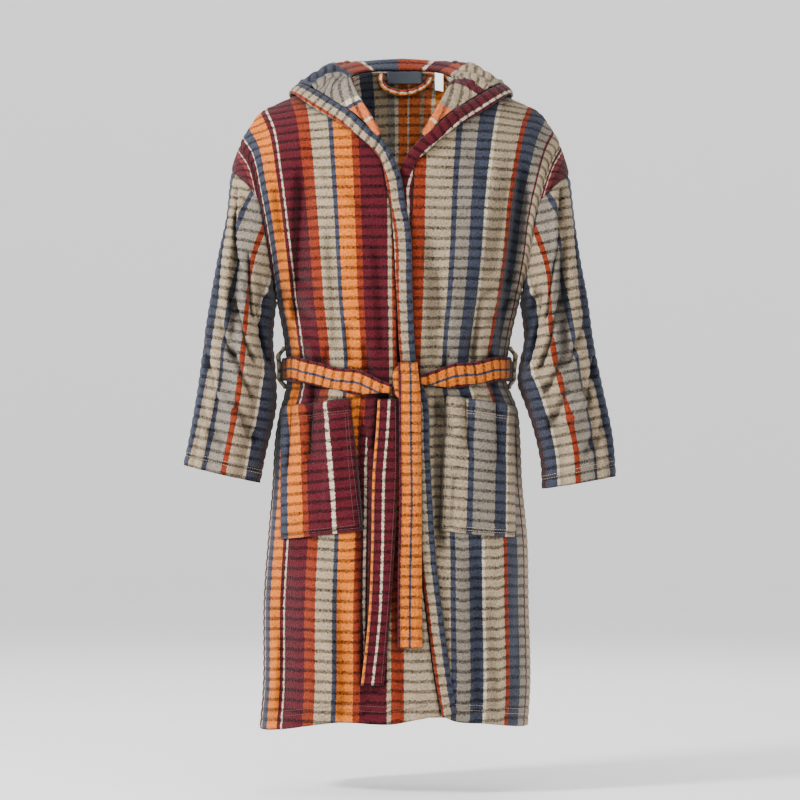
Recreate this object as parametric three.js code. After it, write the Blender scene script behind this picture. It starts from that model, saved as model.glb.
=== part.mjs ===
// Hooded bathrobe of terry cloth, belted and filled out, with its hood thrown back.
// Millimetres, +Z up, the front faces -Y, and +X is to the right of someone who looks at the front.
// The origin is the middle of the shoulder line, where the wearer's shoulders hold the robe.
import * as THREE from "three";

// Driving dimensions
const CLOTH = 3;
const SEAM = 0.3;
const SHOULDER_X = 272;
const SHOULDER_Z = -78;
const ARMPIT_Z = -340;
const ARMHOLE_DEPTH = 70;
const SHOULDER_ROUND = 110;
const NECK_LEFT = -83;
const NECK_RIGHT = 89;
const NECK_Y = 6;
const BACK_NECK_DEPTH = 60;
const BACK_NECK_RISE = 18;
const OVERLAP_LIFT = 4.5;
const UNDERLAP_DROP = 7;
const BAND_THICK = 6;
const BAND_GAP = 1.4;
const BELT_WIDE = 40;
const BELT_THICK = 6;
const BELT_STAND = 5;
const BELT_Z = -458;
const LOOP_WIDE = 14;
const KNOT_OFF = 15;
const NECK_LABEL_GAP = 0.6;
const CARE_LABEL_GAP = 1.1;
const LABEL_TOP = 1;
const HEAD_SHARE = 0.125;
const HEAD_END = 1.31;

// Half widths and depths of the body at each height
const BODY = [
  { z: -78, left: 272, right: 272, front: 112, back: 112 },
  { z: -110, left: 252, right: 254, front: 116, back: 114 },
  { z: -172, left: 237, right: 235, front: 120, back: 116 },
  { z: -223, left: 227, right: 224, front: 121, back: 116 },
  { z: -279, left: 218, right: 216, front: 119, back: 112 },
  { z: -340, left: 209, right: 203, front: 115, back: 106 },
  { z: -400, left: 198, right: 189, front: 108, back: 98 },
  { z: -455, left: 191, right: 180, front: 101, back: 92 },
  { z: -482, left: 192, right: 181, front: 103, back: 94 },
  { z: -505, left: 197, right: 191, front: 107, back: 100 },
  { z: -530, left: 204, right: 200, front: 112, back: 106 },
  { z: -578, left: 212, right: 204, front: 118, back: 116 },
  { z: -650, left: 216, right: 207, front: 124, back: 122 },
  { z: -748, left: 224, right: 216, front: 130, back: 127 },
  { z: -850, left: 231, right: 218, front: 135, back: 130 },
  { z: -986, left: 232, right: 221, front: 139, back: 133 },
  { z: -1070, left: 238, right: 216, front: 142, back: 136 },
];

// Height of the shoulder line at each distance from the middle
const SHOULDER = [
  { x: 0, z: 37 },
  { x: 83, z: 37 },
  { x: 130, z: 22 },
  { x: 177, z: 7 },
  { x: 204, z: -5 },
  { x: 238, z: -22 },
  { x: 258, z: -49 },
  { x: 268, z: -66 },
  { x: 272, z: -78 },
];

// Cut edge of each front from the neck down to the hem, where its band is sewn on
const OVER_EDGE = [
  { z: 37, x: -83 },
  { z: -1, x: -68 },
  { z: -31, x: -51 },
  { z: -66, x: -35 },
  { z: -114, x: -28 },
  { z: -177, x: -18 },
  { z: -232, x: -13 },
  { z: -344, x: -7 },
  { z: -460, x: -3 },
  { z: -510, x: 17 },
  { z: -593, x: 20 },
  { z: -710, x: 27 },
  { z: -780, x: 32 },
  { z: -873, x: 43 },
  { z: -966, x: 55 },
  { z: -1045, x: 68 },
];
const UNDER_EDGE = [
  { z: 37, x: 89 },
  { z: -1, x: 74 },
  { z: -31, x: 57 },
  { z: -66, x: 43 },
  { z: -99, x: 28 },
  { z: -152, x: 23 },
  { z: -202, x: 20 },
  { z: -344, x: 0 },
  { z: -510, x: -40 },
  { z: -593, x: -50 },
  { z: -1045, x: -56 },
];

// Height of the hem across the front
const HEM = [
  { x: -240, z: -1058 },
  { x: -226, z: -1066 },
  { x: -189, z: -1062 },
  { x: -100, z: -1047 },
  { x: -17, z: -1049 },
  { x: 30, z: -1041 },
  { x: 68, z: -1036 },
  { x: 98, z: -1046 },
  { x: 150, z: -1051 },
  { x: 216, z: -1060 },
];
const BACK_HEM_Z = -1062;

// Largest folds of each panel: a soft trough (negative) or ridge that runs from one point to another
const FOLDS = {
  over: [
    { x0: -165, z0: -120, x1: -176, z1: -400, depth: -6, width: 17 },
    { x0: -118, z0: -220, x1: -104, z1: -440, depth: -3, width: 16 },
    { x0: -140, z0: -440, x1: -150, z1: -620, depth: -5, width: 13 },
    { x0: -66, z0: -500, x1: -55, z1: -1010, depth: -6, width: 14 },
    { x0: -140, z0: -760, x1: -150, z1: -1060, depth: 5, width: 26 },
    { x0: -192, z0: -780, x1: -200, z1: -1060, depth: -5, width: 15 },
    { x0: 0, z0: -560, x1: 20, z1: -1030, depth: 3, width: 20 },
  ],
  under: [
    { x0: 205, z0: -110, x1: 165, z1: -430, depth: -12, width: 13 },
    { x0: 178, z0: -110, x1: 112, z1: -450, depth: -6, width: 15 },
    { x0: 48, z0: -230, x1: 56, z1: -455, depth: -5, width: 13 },
    { x0: 62, z0: -490, x1: 62, z1: -760, depth: -10, width: 10 },
    { x0: 120, z0: -760, x1: 128, z1: -1050, depth: -5, width: 17 },
    { x0: 175, z0: -740, x1: 178, z1: -1050, depth: 4, width: 20 },
  ],
  back: [
    { x0: -150, z0: -150, x1: -120, z1: -430, depth: -7, width: 18 },
    { x0: 150, z0: -150, x1: 118, z1: -430, depth: -7, width: 18 },
    { x0: -40, z0: -330, x1: -30, z1: -460, depth: -5, width: 14 },
    { x0: 62, z0: -320, x1: 50, z1: -460, depth: -5, width: 15 },
    { x0: -95, z0: -490, x1: -128, z1: -1060, depth: -8, width: 20 },
    { x0: 8, z0: -490, x1: -12, z1: -1060, depth: -6, width: 22 },
    { x0: 100, z0: -490, x1: 122, z1: -1060, depth: -8, width: 20 },
  ],
};

// Sleeve sections from the armhole to the cuff: outer and inner corner, half depth and middle in Y
const SLEEVE = {
  left: [
    { ox: -272, oz: -78, ix: -209, iz: -340, depth: 70, y: 0 },
    { ox: -286, oz: -122, ix: -214, iz: -374, depth: 76, y: 0 },
    { ox: -294, oz: -196, ix: -216, iz: -413, depth: 77, y: -3 },
    { ox: -308, oz: -264, ix: -213, iz: -445, depth: 75, y: -7 },
    { ox: -321, oz: -337, ix: -210, iz: -481, depth: 71, y: -12 },
    { ox: -332, oz: -408, ix: -210, iz: -520, depth: 66, y: -17 },
    { ox: -340, oz: -476, ix: -217, iz: -558, depth: 60, y: -21 },
    { ox: -354, oz: -561, ix: -228, iz: -603, depth: 55, y: -25 },
    { ox: -366, oz: -620, ix: -237, iz: -650, depth: 52, y: -28 },
  ],
  right: [
    { ox: 272, oz: -78, ix: 203, iz: -340, depth: 70, y: 0 },
    { ox: 287, oz: -128, ix: 209, iz: -377, depth: 76, y: 0 },
    { ox: 295, oz: -196, ix: 211, iz: -413, depth: 77, y: -3 },
    { ox: 305, oz: -267, ix: 204, iz: -445, depth: 75, y: -7 },
    { ox: 318, oz: -340, ix: 200, iz: -481, depth: 71, y: -12 },
    { ox: 327, oz: -408, ix: 211, iz: -514, depth: 66, y: -17 },
    { ox: 340, oz: -476, ix: 226, iz: -558, depth: 60, y: -21 },
    { ox: 359, oz: -568, ix: 238, iz: -612, depth: 55, y: -25 },
    { ox: 365, oz: -639, ix: 241, iz: -660, depth: 52, y: -28 },
  ],
};

// Long folds of the sleeves: angle round the sleeve from its top, at the start and end of a share of its length
const SLEEVE_FOLDS = [
  { a0: 0.9, a1: 1.35, t0: 0.15, t1: 0.62, depth: -8, width: 0.22 },
  { a0: 1.5, a1: 1.75, t0: 0.3, t1: 1, depth: 5, width: 0.3 },
  { a0: 0.35, a1: 0.55, t0: 0.35, t1: 1, depth: -5, width: 0.2 },
  { a0: 2.2, a1: 2.3, t0: 0.1, t1: 0.5, depth: -9, width: 0.3 },
  { a0: -1, a1: -1.4, t0: 0.15, t1: 0.7, depth: -7, width: 0.25 },
  { a0: -2.1, a1: -2, t0: 0.2, t1: 0.9, depth: -5, width: 0.3 },
];

// Right half of the hood. s runs from the back middle (0) to the start of the neckline (1).
// Each row holds the points of one section: neck seam, crest, fall, bottom, outer layer and rim,
// then the two edges of the band. Points in front are set on the chest, so their y is only a guide.
const HOOD = [
  { s: 0, neck: [0, 66, 55.3], crest: [0, 90, 75], fall: [0, 126, -30], bottom: [0, 152, -205],
    outer: [0, 190, -90], rim: [0, 153, 40], up: [0, 161, 44], low: [0, 182, 18] },
  { s: 0.2, neck: [51, 55, 52.3], crest: [80, 78, 69], fall: [112, 114, -10], bottom: [110, 143, -150],
    outer: [132, 172, -65], rim: [112, 138, 34], up: [117, 146, 38], low: [136, 162, 14] },
  { s: 0.38, neck: [78, 32, 44.5], crest: [112, 40, 60], fall: [143, 62, 36], bottom: [165, 90, -5],
    outer: [174, 86, 12], rim: [166, 54, 27], up: [174.5, 58, 24], low: [186, 60, 6] },
  { s: 0.52, neck: [86, 6, 38], crest: [108, -2, 50], fall: [125, -8, 46], bottom: [137, -14, 40],
    outer: [148, -20, 34], rim: [160, -28, 26], up: [163.5, -29, 23], low: [182, -36, 6] },
  { s: 0.7, neck: [70, -50, -1], crest: [78, -60, 4], fall: [86, -66, 2], bottom: [93, -72, -1],
    outer: [100, -76, -5], rim: [107, -80, -9], up: [110, -81, -11], low: [128, -84, -32] },
  { s: 0.86, neck: [52, -88, -31], crest: [55, -92, -30], fall: [58, -94, -31], bottom: [61, -96, -33],
    outer: [64, -98, -35], rim: [67, -100, -37], up: [70, -101, -39], low: [83, -102, -60] },
  { s: 1, neck: [33, -112, -64], crest: [34, -112, -65], fall: [35, -112, -66], bottom: [36, -112, -67],
    outer: [37, -112, -68], rim: [38, -112, -69], up: [41, -112, -73], low: [51, -112, -88] },
];
const HOOD_MIDDLE_X = 2;
const HOOD_SEAM = 0.8;
const NECK_POINT_S = 0.53;
const HOOD_GAP = 3.2;
const GATHERS = 7;
const GATHER_DEPTH = 3.5;

// Each band below the neck: its free edge and its sewn edge, and how far its middle stands off the front
const OVER_BAND = [
  { fx: -27, fz: -78, sx: -41, sz: -100, lift: 8 },
  { fx: -14, fz: -100, sx: -31, sz: -117, lift: 8 },
  { fx: 2, fz: -138, sx: -25, sz: -146, lift: 8 },
  { fx: 8, fz: -177, sx: -17.7, sz: -180, lift: 5 },
  { fx: 18, fz: -232, sx: -12.7, sz: -232, lift: 4.5 },
  { fx: 21, fz: -344, sx: -6.7, sz: -344, lift: 4.5 },
  { fx: 29, fz: -460, sx: 2, sz: -460, lift: 6 },
  { fx: 45, fz: -510, sx: 20, sz: -510, lift: 6 },
  { fx: 49, fz: -593, sx: 20.3, sz: -593, lift: 4.5 },
  { fx: 55, fz: -710, sx: 27.3, sz: -710, lift: 4.5 },
  { fx: 60, fz: -780, sx: 32.3, sz: -780, lift: 4.5 },
  { fx: 71, fz: -873, sx: 43.3, sz: -873, lift: 4.5 },
  { fx: 83, fz: -966, sx: 55.3, sz: -966, lift: 4.5 },
  { fx: 93, fz: -1032, sx: 68.3, sz: -1037, lift: 4.5 },
];
const UNDER_BAND = [
  { fx: 25, fz: -84, sx: 47, sz: -96, lift: 5 },
  { fx: 8, fz: -108, sx: 26, sz: -116, lift: 1 },
  { fx: -8, fz: -152, sx: 22.7, sz: -152, lift: -2 },
  { fx: -9, fz: -202, sx: 19.7, sz: -202, lift: -2 },
  { fx: -30, fz: -344, sx: -0.3, sz: -344, lift: -8 },
  { fx: -55, fz: -440, sx: -26, sz: -440, lift: -10 },
  { fx: -69, fz: -510, sx: -40.3, sz: -510, lift: -10 },
  { fx: -79, fz: -593, sx: -50.3, sz: -593, lift: -10 },
  { fx: -81, fz: -700, sx: -52, sz: -700, lift: -10 },
  { fx: -83, fz: -820, sx: -54, sz: -820, lift: -10 },
  { fx: -84, fz: -940, sx: -55, sz: -940, lift: -10 },
  { fx: -85, fz: -1045, sx: -56.3, sz: -1045, lift: -10 },
];

// Patch pockets: edge at the side seam and at the front, their heights, and how far each stands off its front
const POCKETS = {
  left: {
    sideX: -197, frontTopX: -83, frontLowX: -63,
    sideTop: -522, frontTop: -507, sideLow: -744, frontLow: -728, off: 1.8,
  },
  right: {
    sideX: 190, frontTopX: 79, frontLowX: 68,
    sideTop: -520, frontTop: -502, sideLow: -741, frontLow: -729, off: 1.2,
  },
};
const POCKET_MOUTH = 1.6;

// Belt across each front, from the knot to the side: distance from the middle, height and stand-off
const BELT = [
  { x: -14, z: -494, off: 12 },
  { x: -60, z: -484, off: 8 },
  { x: -110, z: -474, off: 6 },
  { x: -150, z: -463, off: 5 },
];
const BELT_RIGHT = [
  { x: 32, z: -478, off: 12 },
  { x: 70, z: -473, off: 6 },
  { x: 110, z: -467, off: 4 },
  { x: 142, z: -461, off: 5 },
];

// Tails of the belt: height, middle, width and stand-off of the middle from the front
const TAIL_UPPER = [
  { z: -445, x: 12, wide: 33, off: 21 },
  { z: -462, x: 13, wide: 33, off: 24 },
  { z: -500, x: 15, wide: 36, off: 23.5 },
  { z: -560, x: 16, wide: 37, off: 15.5 },
  { z: -680, x: 17, wide: 37, off: 13.5 },
  { z: -800, x: 16, wide: 40, off: 13.5 },
  { z: -922, x: 16, wide: 41, off: 12.5 },
];
const TAIL_LOWER = [
  { z: -511, x: -20, wide: 33, off: 12 },
  { z: -560, x: -21, wide: 37, off: 11 },
  { z: -640, x: -24, wide: 43, off: 9.8 },
  { z: -760, x: -28, wide: 39, off: 9.8 },
  { z: -870, x: -34, wide: 36, off: 9.8 },
  { z: -984, x: -45, wide: 38, off: 9.8 },
];

const v = (x, y, z) => new THREE.Vector3(x, y, z);
const clamp = (a, low, high) => Math.min(Math.max(a, low), high);
const ease = (a) => clamp(a, 0, 1) ** 2 * (3 - 2 * clamp(a, 0, 1));
const mix = (a, b, t) => a + (b - a) * t;

// Smooth curve through one named column of a table, along its key column
function curve(table, key, name) {
  const rows = [...table].sort((a, b) => a[key] - b[key]);
  const at = rows.map((row) => row[key]);
  const value = rows.map((row) => row[name]);
  const last = rows.length - 1;
  const slope = value.map((_, i) => {
    const before = Math.max(i - 1, 0);
    const after = Math.min(i + 1, last);
    return (value[after] - value[before]) / (at[after] - at[before]);
  });
  return (place) => {
    const p = clamp(place, at[0], at[last]);
    let i = 0;
    while (i < last - 1 && p > at[i + 1]) i += 1;
    const gap = at[i + 1] - at[i];
    const t = (p - at[i]) / gap;
    const from = (1 + 2 * t) * (1 - t) ** 2 * value[i] + t * (1 - t) ** 2 * gap * slope[i];
    return from + t * t * (3 - 2 * t) * value[i + 1] - t * t * (1 - t) * gap * slope[i + 1];
  };
}

const bodyLeft = curve(BODY, "z", "left");
const bodyRight = curve(BODY, "z", "right");
const bodyFront = curve(BODY, "z", "front");
const bodyBack = curve(BODY, "z", "back");
const shoulderZ = curve(SHOULDER, "x", "z");
const hemZ = curve(HEM, "x", "z");
const halfWidth = (side, z) => (side < 0 ? bodyLeft(z) : bodyRight(z));

// Point of the shoulder line, or of the back neck between its two ends
function topLine(sine, face) {
  const x = SHOULDER_X * sine;
  const edge = x < 0 ? NECK_LEFT : NECK_RIGHT;
  const inside = 1 - (x / edge) ** 2;
  const shoulderY = NECK_Y * (1 - Math.abs(sine));
  if (inside <= 0 || face < 0) return { z: shoulderZ(Math.abs(x)), y: shoulderY, neck: 0 };
  const dip = Math.sqrt(inside);
  return { z: shoulderZ(Math.abs(x)) + BACK_NECK_RISE * dip, y: shoulderY + BACK_NECK_DEPTH * dip, neck: dip };
}

// Depth of the folds of one panel at a point
function foldDepth(panel, x, z) {
  let sum = 0;
  for (const fold of FOLDS[panel]) {
    const along = (z - fold.z0) / (fold.z1 - fold.z0);
    const middle = mix(fold.x0, fold.x1, along);
    const fade = ease(along / 0.25 + 0.35) * ease((1 - along) / 0.25 + 0.35);
    sum += fold.depth * fade * Math.exp(-(((x - middle) / fold.width) ** 2));
  }
  return sum;
}

// A row of the body: in the armhole it is a share of the way down, below it a height
function bodyRow(share, level) {
  const inArmhole = level === null;
  const sideZ = inArmhole ? mix(SHOULDER_Z, ARMPIT_Z, share) : level;
  const turn = inArmhole ? Math.acos(1 - 2 * share) : Math.PI;
  return { inArmhole, share, level, sideZ, turn, edgeY: ARMHOLE_DEPTH * Math.sin(turn) };
}

// Point of the body's outer face. The section is x = half width times sine, y = depth times a power of the cosine,
// and near the shoulder the depth grows as a quarter ellipse below the shoulder line.
function bodyPoint(face, angle, row, panel) {
  const sine = Math.sin(angle);
  const cosine = Math.max(Math.cos(angle), 0);
  const top = topLine(sine, face);
  const z = row.inArmhole ? mix(top.z, ARMPIT_Z, row.share) : row.level;
  const x = halfWidth(sine, row.sideZ) * sine;
  const drop = clamp((top.z - z) / SHOULDER_ROUND, 0, 1);
  const arch = mix(Math.sqrt(drop * (2 - drop)), drop * (2 - drop), top.neck);
  const power = mix(0.85, 2, ease((row.sideZ + 350) / 130));
  const depth = face < 0 ? bodyFront(z) : bodyBack(z);
  const below = ease((top.z - z) / 70);
  let lift = 0;
  if (panel === "over") lift = OVERLAP_LIFT * ease((x + 160) / 60) * below;
  if (panel === "under") lift = -UNDERLAP_DROP * ease((10 - x) / 30) * below;
  const fold = panel ? foldDepth(panel, x, z) * ease((top.z - z) / 60) * ease(cosine / 0.3) : 0;
  const out = row.edgeY + (depth - row.edgeY) * cosine ** power * arch + lift + fold;
  return v(x, face * out + top.y * (1 - arch), z);
}

// Point of the front or back at a given x and z, found by closing in on its angle and row
function onBody(face, x, z, panel) {
  let angle = 0;
  let row = bodyRow(0, z);
  for (let k = 0; k < 12; k += 1) {
    angle = Math.asin(clamp(x / halfWidth(x, row.sideZ), -0.999, 0.999));
    const top = topLine(Math.sin(angle), face).z;
    row = z > ARMPIT_Z ? bodyRow(clamp((top - z) / (top - ARMPIT_Z), 0, 1), null) : bodyRow(1, z);
  }
  return bodyPoint(face, angle, row, panel);
}

// Point that stands off the front by a given amount, square to its face
function offFront(x, z, off, panel) {
  const middle = onBody(-1, x, z, panel);
  const step = 4;
  const across = onBody(-1, x + step, z, panel).sub(onBody(-1, x - step, z, panel));
  const down = onBody(-1, x, z - step, panel).sub(onBody(-1, x, z + step, panel));
  return middle.addScaledVector(down.cross(across).normalize(), off);
}

// Closed body from two grids of points: an outer and an inner face, and the strips that join their edges.
// A grid that closes on itself has no side strips.
function solidBetween(outer, inner, closed) {
  const rows = outer.length;
  const columns = outer[0].length;
  const spans = closed ? columns : columns - 1;
  const points = [...outer.flat(), ...inner.flat()];
  const at = (layer, i, j) => layer * rows * columns + i * columns + (j % columns);
  const faces = [];
  const quad = (a, b, c, d) => faces.push(a, b, c, a, c, d);
  for (let i = 0; i < rows - 1; i += 1) {
    for (let j = 0; j < spans; j += 1) {
      quad(at(0, i, j), at(0, i, j + 1), at(0, i + 1, j + 1), at(0, i + 1, j));
      quad(at(1, i, j), at(1, i + 1, j), at(1, i + 1, j + 1), at(1, i, j + 1));
    }
    if (!closed) {
      quad(at(0, i, 0), at(0, i + 1, 0), at(1, i + 1, 0), at(1, i, 0));
      quad(at(0, i, spans), at(1, i, spans), at(1, i + 1, spans), at(0, i + 1, spans));
    }
  }
  for (let j = 0; j < spans; j += 1) {
    quad(at(0, 0, j), at(1, 0, j), at(1, 0, j + 1), at(0, 0, j + 1));
    quad(at(0, rows - 1, j), at(0, rows - 1, j + 1), at(1, rows - 1, j + 1), at(1, rows - 1, j));
  }
  return solid(points, faces);
}

// Closed body from rings of points, each end closed by a fan about its middle
function solidThrough(rings) {
  const count = rings[0].length;
  const points = rings.flat();
  const faces = [];
  for (let i = 0; i < rings.length - 1; i += 1) {
    for (let j = 0; j < count; j += 1) {
      const next = (j + 1) % count;
      const a = i * count;
      const b = a + count;
      faces.push(a + j, a + next, b + next, a + j, b + next, b + j);
    }
  }
  for (const i of [0, rings.length - 1]) {
    const hub = rings[i].reduce((sum, p) => sum.add(p), v(0, 0, 0)).divideScalar(count);
    points.push(hub);
    for (let j = 0; j < count; j += 1) {
      const one = i * count + j;
      const two = i * count + ((j + 1) % count);
      faces.push(...(i === 0 ? [points.length - 1, two, one] : [points.length - 1, one, two]));
    }
  }
  return solid(points, faces);
}

// Geometry of a closed body, turned so that its faces point out
function solid(points, faces) {
  let volume = 0;
  for (let k = 0; k < faces.length; k += 3) {
    volume += points[faces[k]].dot(points[faces[k + 1]].clone().cross(points[faces[k + 2]]));
  }
  const geometry = new THREE.BufferGeometry();
  geometry.setAttribute("position", new THREE.Float32BufferAttribute(points.flatMap((p) => [p.x, p.y, p.z]), 3));
  geometry.setIndex(volume > 0 ? faces : faces.toReversed());
  geometry.computeVertexNormals();
  return geometry;
}

// Outward direction at each point of a grid, from its neighbours; sign turns it outwards
function gridNormals(grid, sign, closed) {
  const rows = grid.length;
  const columns = grid[0].length;
  return grid.map((line, i) => line.map((_, j) => {
    const before = closed ? (j + columns - 1) % columns : Math.max(j - 1, 0);
    const after = closed ? (j + 1) % columns : Math.min(j + 1, columns - 1);
    const across = line[after].clone().sub(line[before]);
    const down = grid[Math.min(i + 1, rows - 1)][j].clone().sub(grid[Math.max(i - 1, 0)][j]);
    return across.cross(down).normalize().multiplyScalar(sign);
  }));
}

// Frame of an armhole: its middle, its half height as a vector, and the direction out along the sleeve
function armhole(side) {
  const first = (side < 0 ? SLEEVE.left : SLEEVE.right)[0];
  const half = v((first.ox - first.ix) / 2, 0, (first.oz - first.iz) / 2);
  const up = half.clone().normalize();
  return { half, up, out: v(up.z * side, 0, -up.x * side) };
}

// Direction square to the cloth along the armhole seam, which both pieces share; turn is 0 at the shoulder point
function armholeNormal(side, turn, face) {
  const frame = armhole(side);
  const radial = frame.up.clone().multiplyScalar(Math.cos(turn)).add(v(0, face * Math.sin(turn), 0));
  const tilt = 1.6 * ((1 + Math.cos(turn)) / 2) ** 2;
  return radial.addScaledVector(frame.out, tilt).normalize();
}

// Upward direction square to the shoulder line
function shoulderNormal(x) {
  const step = 3;
  const reach = Math.min(Math.abs(x), SHOULDER_X - step);
  const fall = (shoulderZ(reach + step) - shoulderZ(reach - step)) / (2 * step);
  return v(-fall * Math.sign(x), 0, 1).normalize();
}

const ARMHOLE_ROWS = 10;
const LOWER_ROWS = 14;
const rowShares = Array.from({ length: ARMHOLE_ROWS + 1 }, (_, i) => (1 - Math.cos((Math.PI * i) / ARMHOLE_ROWS)) / 2);

// Rows of a panel from the shoulder to the hem; below the armpit each point has its own height
function panelRows(hemAt) {
  const upper = rowShares.map((share) => () => bodyRow(share, null));
  const lower = Array.from({ length: LOWER_ROWS }, (_, i) => (angle) => {
    const low = hemAt(Math.sin(angle) * 225);
    return bodyRow(1, mix(ARMPIT_Z, low, (i + 1) / LOWER_ROWS));
  });
  return [...upper, ...lower];
}

// One front, from its side seam to its cut edge
function frontPanel(side, edgeTable, panel) {
  const edge = curve(edgeTable, "z", "x");
  const columns = 13;
  const neck = side < 0 ? NECK_LEFT : NECK_RIGHT;
  const neckAngle = Math.asin(neck / SHOULDER_X);
  const start = (side * Math.PI) / 2;
  const rows = panelRows(hemZ);
  const grid = rows.map((rowAt, i) => {
    let endAngle = neckAngle;
    for (let k = 0; k < 8 && i > 0; k += 1) {
      const row = rowAt(endAngle);
      const x = edge(bodyPoint(-1, endAngle, row, null).z);
      endAngle = Math.asin(x / halfWidth(x, row.sideZ));
    }
    return Array.from({ length: columns + 1 }, (_, j) => {
      const angle = mix(start, endAngle, j / columns);
      const point = bodyPoint(-1, angle, rowAt(angle), panel);
      return i === 0 || j === 0 ? point.add(v(0, -SEAM / 2, 0)) : point;
    });
  });
  return panelSolid(grid, side, -1, (i, j) => j === 0);
}

// Turns a panel's grid into a wall; the shared seams use the same directions on both pieces
function panelSolid(grid, side, face, onSide) {
  const normals = gridNormals(grid, face < 0 ? side : 1, false);
  const columns = grid[0].length - 1;
  grid.forEach((line, i) => line.forEach((point, j) => {
    const flank = face < 0 ? side : j === 0 ? -1 : 1;
    const atSide = onSide(i, j, columns);
    if (atSide && i <= ARMHOLE_ROWS) {
      normals[i][j] = armholeNormal(flank, (Math.PI * i) / ARMHOLE_ROWS, face);
    } else if (atSide) {
      normals[i][j] = v(flank, 0, 0);
    } else if (i === 0) {
      const beyond = point.x < 0 ? point.x <= NECK_LEFT + 0.5 : point.x >= NECK_RIGHT - 0.5;
      const up = shoulderNormal(point.x);
      const back = v(point.x / NECK_RIGHT, 1, 0).normalize();
      const share = clamp(Math.abs(point.x) / NECK_RIGHT, 0, 1) ** 3;
      normals[i][j] = beyond ? up : back.multiplyScalar(1 - share).addScaledVector(up, share).normalize();
    }
  }));
  const inner = grid.map((line, i) => line.map((p, j) => p.clone().addScaledVector(normals[i][j], -CLOTH)));
  return solidBetween(grid, inner, false);
}

// The back, from side seam to side seam
function backPanel() {
  const sideColumns = 8;
  const neckColumns = 10;
  const leftAngle = Math.asin(NECK_LEFT / SHOULDER_X);
  const rightAngle = Math.asin(NECK_RIGHT / SHOULDER_X);
  const angles = [];
  for (let j = 0; j < sideColumns; j += 1) angles.push(mix(-Math.PI / 2, leftAngle, j / sideColumns));
  for (let j = 0; j <= neckColumns; j += 1) {
    const sweep = Math.sin(mix(-Math.PI / 2, Math.PI / 2, j / neckColumns));
    const reach = sweep < 0 ? -NECK_LEFT : NECK_RIGHT;
    angles.push(Math.asin((sweep * reach) / SHOULDER_X));
  }
  for (let j = 1; j <= sideColumns; j += 1) angles.push(mix(rightAngle, Math.PI / 2, j / sideColumns));
  const rows = panelRows(() => BACK_HEM_Z);
  const last = angles.length - 1;
  const grid = rows.map((rowAt, i) => angles.map((angle, j) => {
    const point = bodyPoint(1, angle, rowAt(angle), "back");
    return i === 0 || j === 0 || j === last ? point.add(v(0, SEAM / 2, 0)) : point;
  }));
  return panelSolid(grid, 1, 1, (i, j, columns) => j === 0 || j === columns);
}

// Point of a sleeve's outer face: t runs from armhole to cuff, turn goes round from the top over the front
function sleevePoint(side, t, turn) {
  const table = (side < 0 ? SLEEVE.left : SLEEVE.right).map((row, i) => ({ ...row, t: i / 8 }));
  const read = (name) => curve(table, "t", name)(t);
  const outer = v(read("ox"), 0, read("oz"));
  const inner = v(read("ix"), 0, read("iz"));
  const middle = outer.clone().add(inner).multiplyScalar(0.5);
  const half = outer.clone().sub(inner).multiplyScalar(0.5);
  let fold = 0;
  for (const row of SLEEVE_FOLDS) {
    const along = (t - row.t0) / (row.t1 - row.t0);
    const fade = ease(along / 0.3) * (row.t1 === 1 ? 1 : ease((1 - along) / 0.3));
    fold += row.depth * fade * Math.exp(-(((turn - mix(row.a0, row.a1, along)) / row.width) ** 2));
  }
  const grow = 1 + (fold * ease(along01(t))) / 70;
  const point = middle.addScaledVector(half, Math.cos(turn) * grow);
  point.y += read("y") - read("depth") * Math.sin(turn) * grow;
  const armholeX = side * halfWidth(side, mix(table[0].iz, table[0].oz, (1 + Math.cos(turn)) / 2));
  const straightX = mix(table[0].ix, table[0].ox, (1 + Math.cos(turn)) / 2);
  point.x += (armholeX - straightX) * ease(1 - t / 0.25);
  return point.addScaledVector(armhole(side).out, SEAM * ease(1 - t / 0.1));
}
const along01 = (t) => (t - 0.02) / 0.12;

// How far down the sleeve its crescent head reaches at each angle
function headReach(turn) {
  const share = clamp(Math.abs(turn) / HEAD_END, 0, 1);
  return HEAD_SHARE * (1 - share ** 2);
}

const SLEEVE_COLUMNS = 2 * ARMHOLE_ROWS;
const sleeveTurn = (j) => (2 * Math.PI * j) / SLEEVE_COLUMNS - Math.PI;

// Direction square to the sleeve along the seam under its head
function headSeamNormal(side, turn) {
  const t = headReach(turn);
  const across = sleevePoint(side, t, turn + 0.05).sub(sleevePoint(side, t, turn - 0.05));
  const down = sleevePoint(side, t + 0.03, turn).sub(sleevePoint(side, Math.max(t - 0.03, 0), turn));
  const natural = across.cross(down).normalize().multiplyScalar(side);
  return natural.lerp(armholeNormal(side, turn, -1), ease(1 - t / 0.04)).normalize();
}

function sleeve(side) {
  const rows = 13;
  const grid = Array.from({ length: rows + 1 }, (_, i) => Array.from({ length: SLEEVE_COLUMNS }, (_, j) => {
    const turn = sleeveTurn(j);
    const seam = headReach(turn) > 0 ? 0.002 : 0;
    return sleevePoint(side, mix(headReach(turn) + seam, 1, i / rows), turn);
  }));
  const normals = gridNormals(grid, side, true);
  normals[0] = normals[0].map((_, j) => headSeamNormal(side, sleeveTurn(j)));
  const inner = grid.map((line, i) => line.map((p, j) => p.clone().addScaledVector(normals[i][j], -CLOTH)));
  return solidBetween(grid, inner, true);
}

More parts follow.
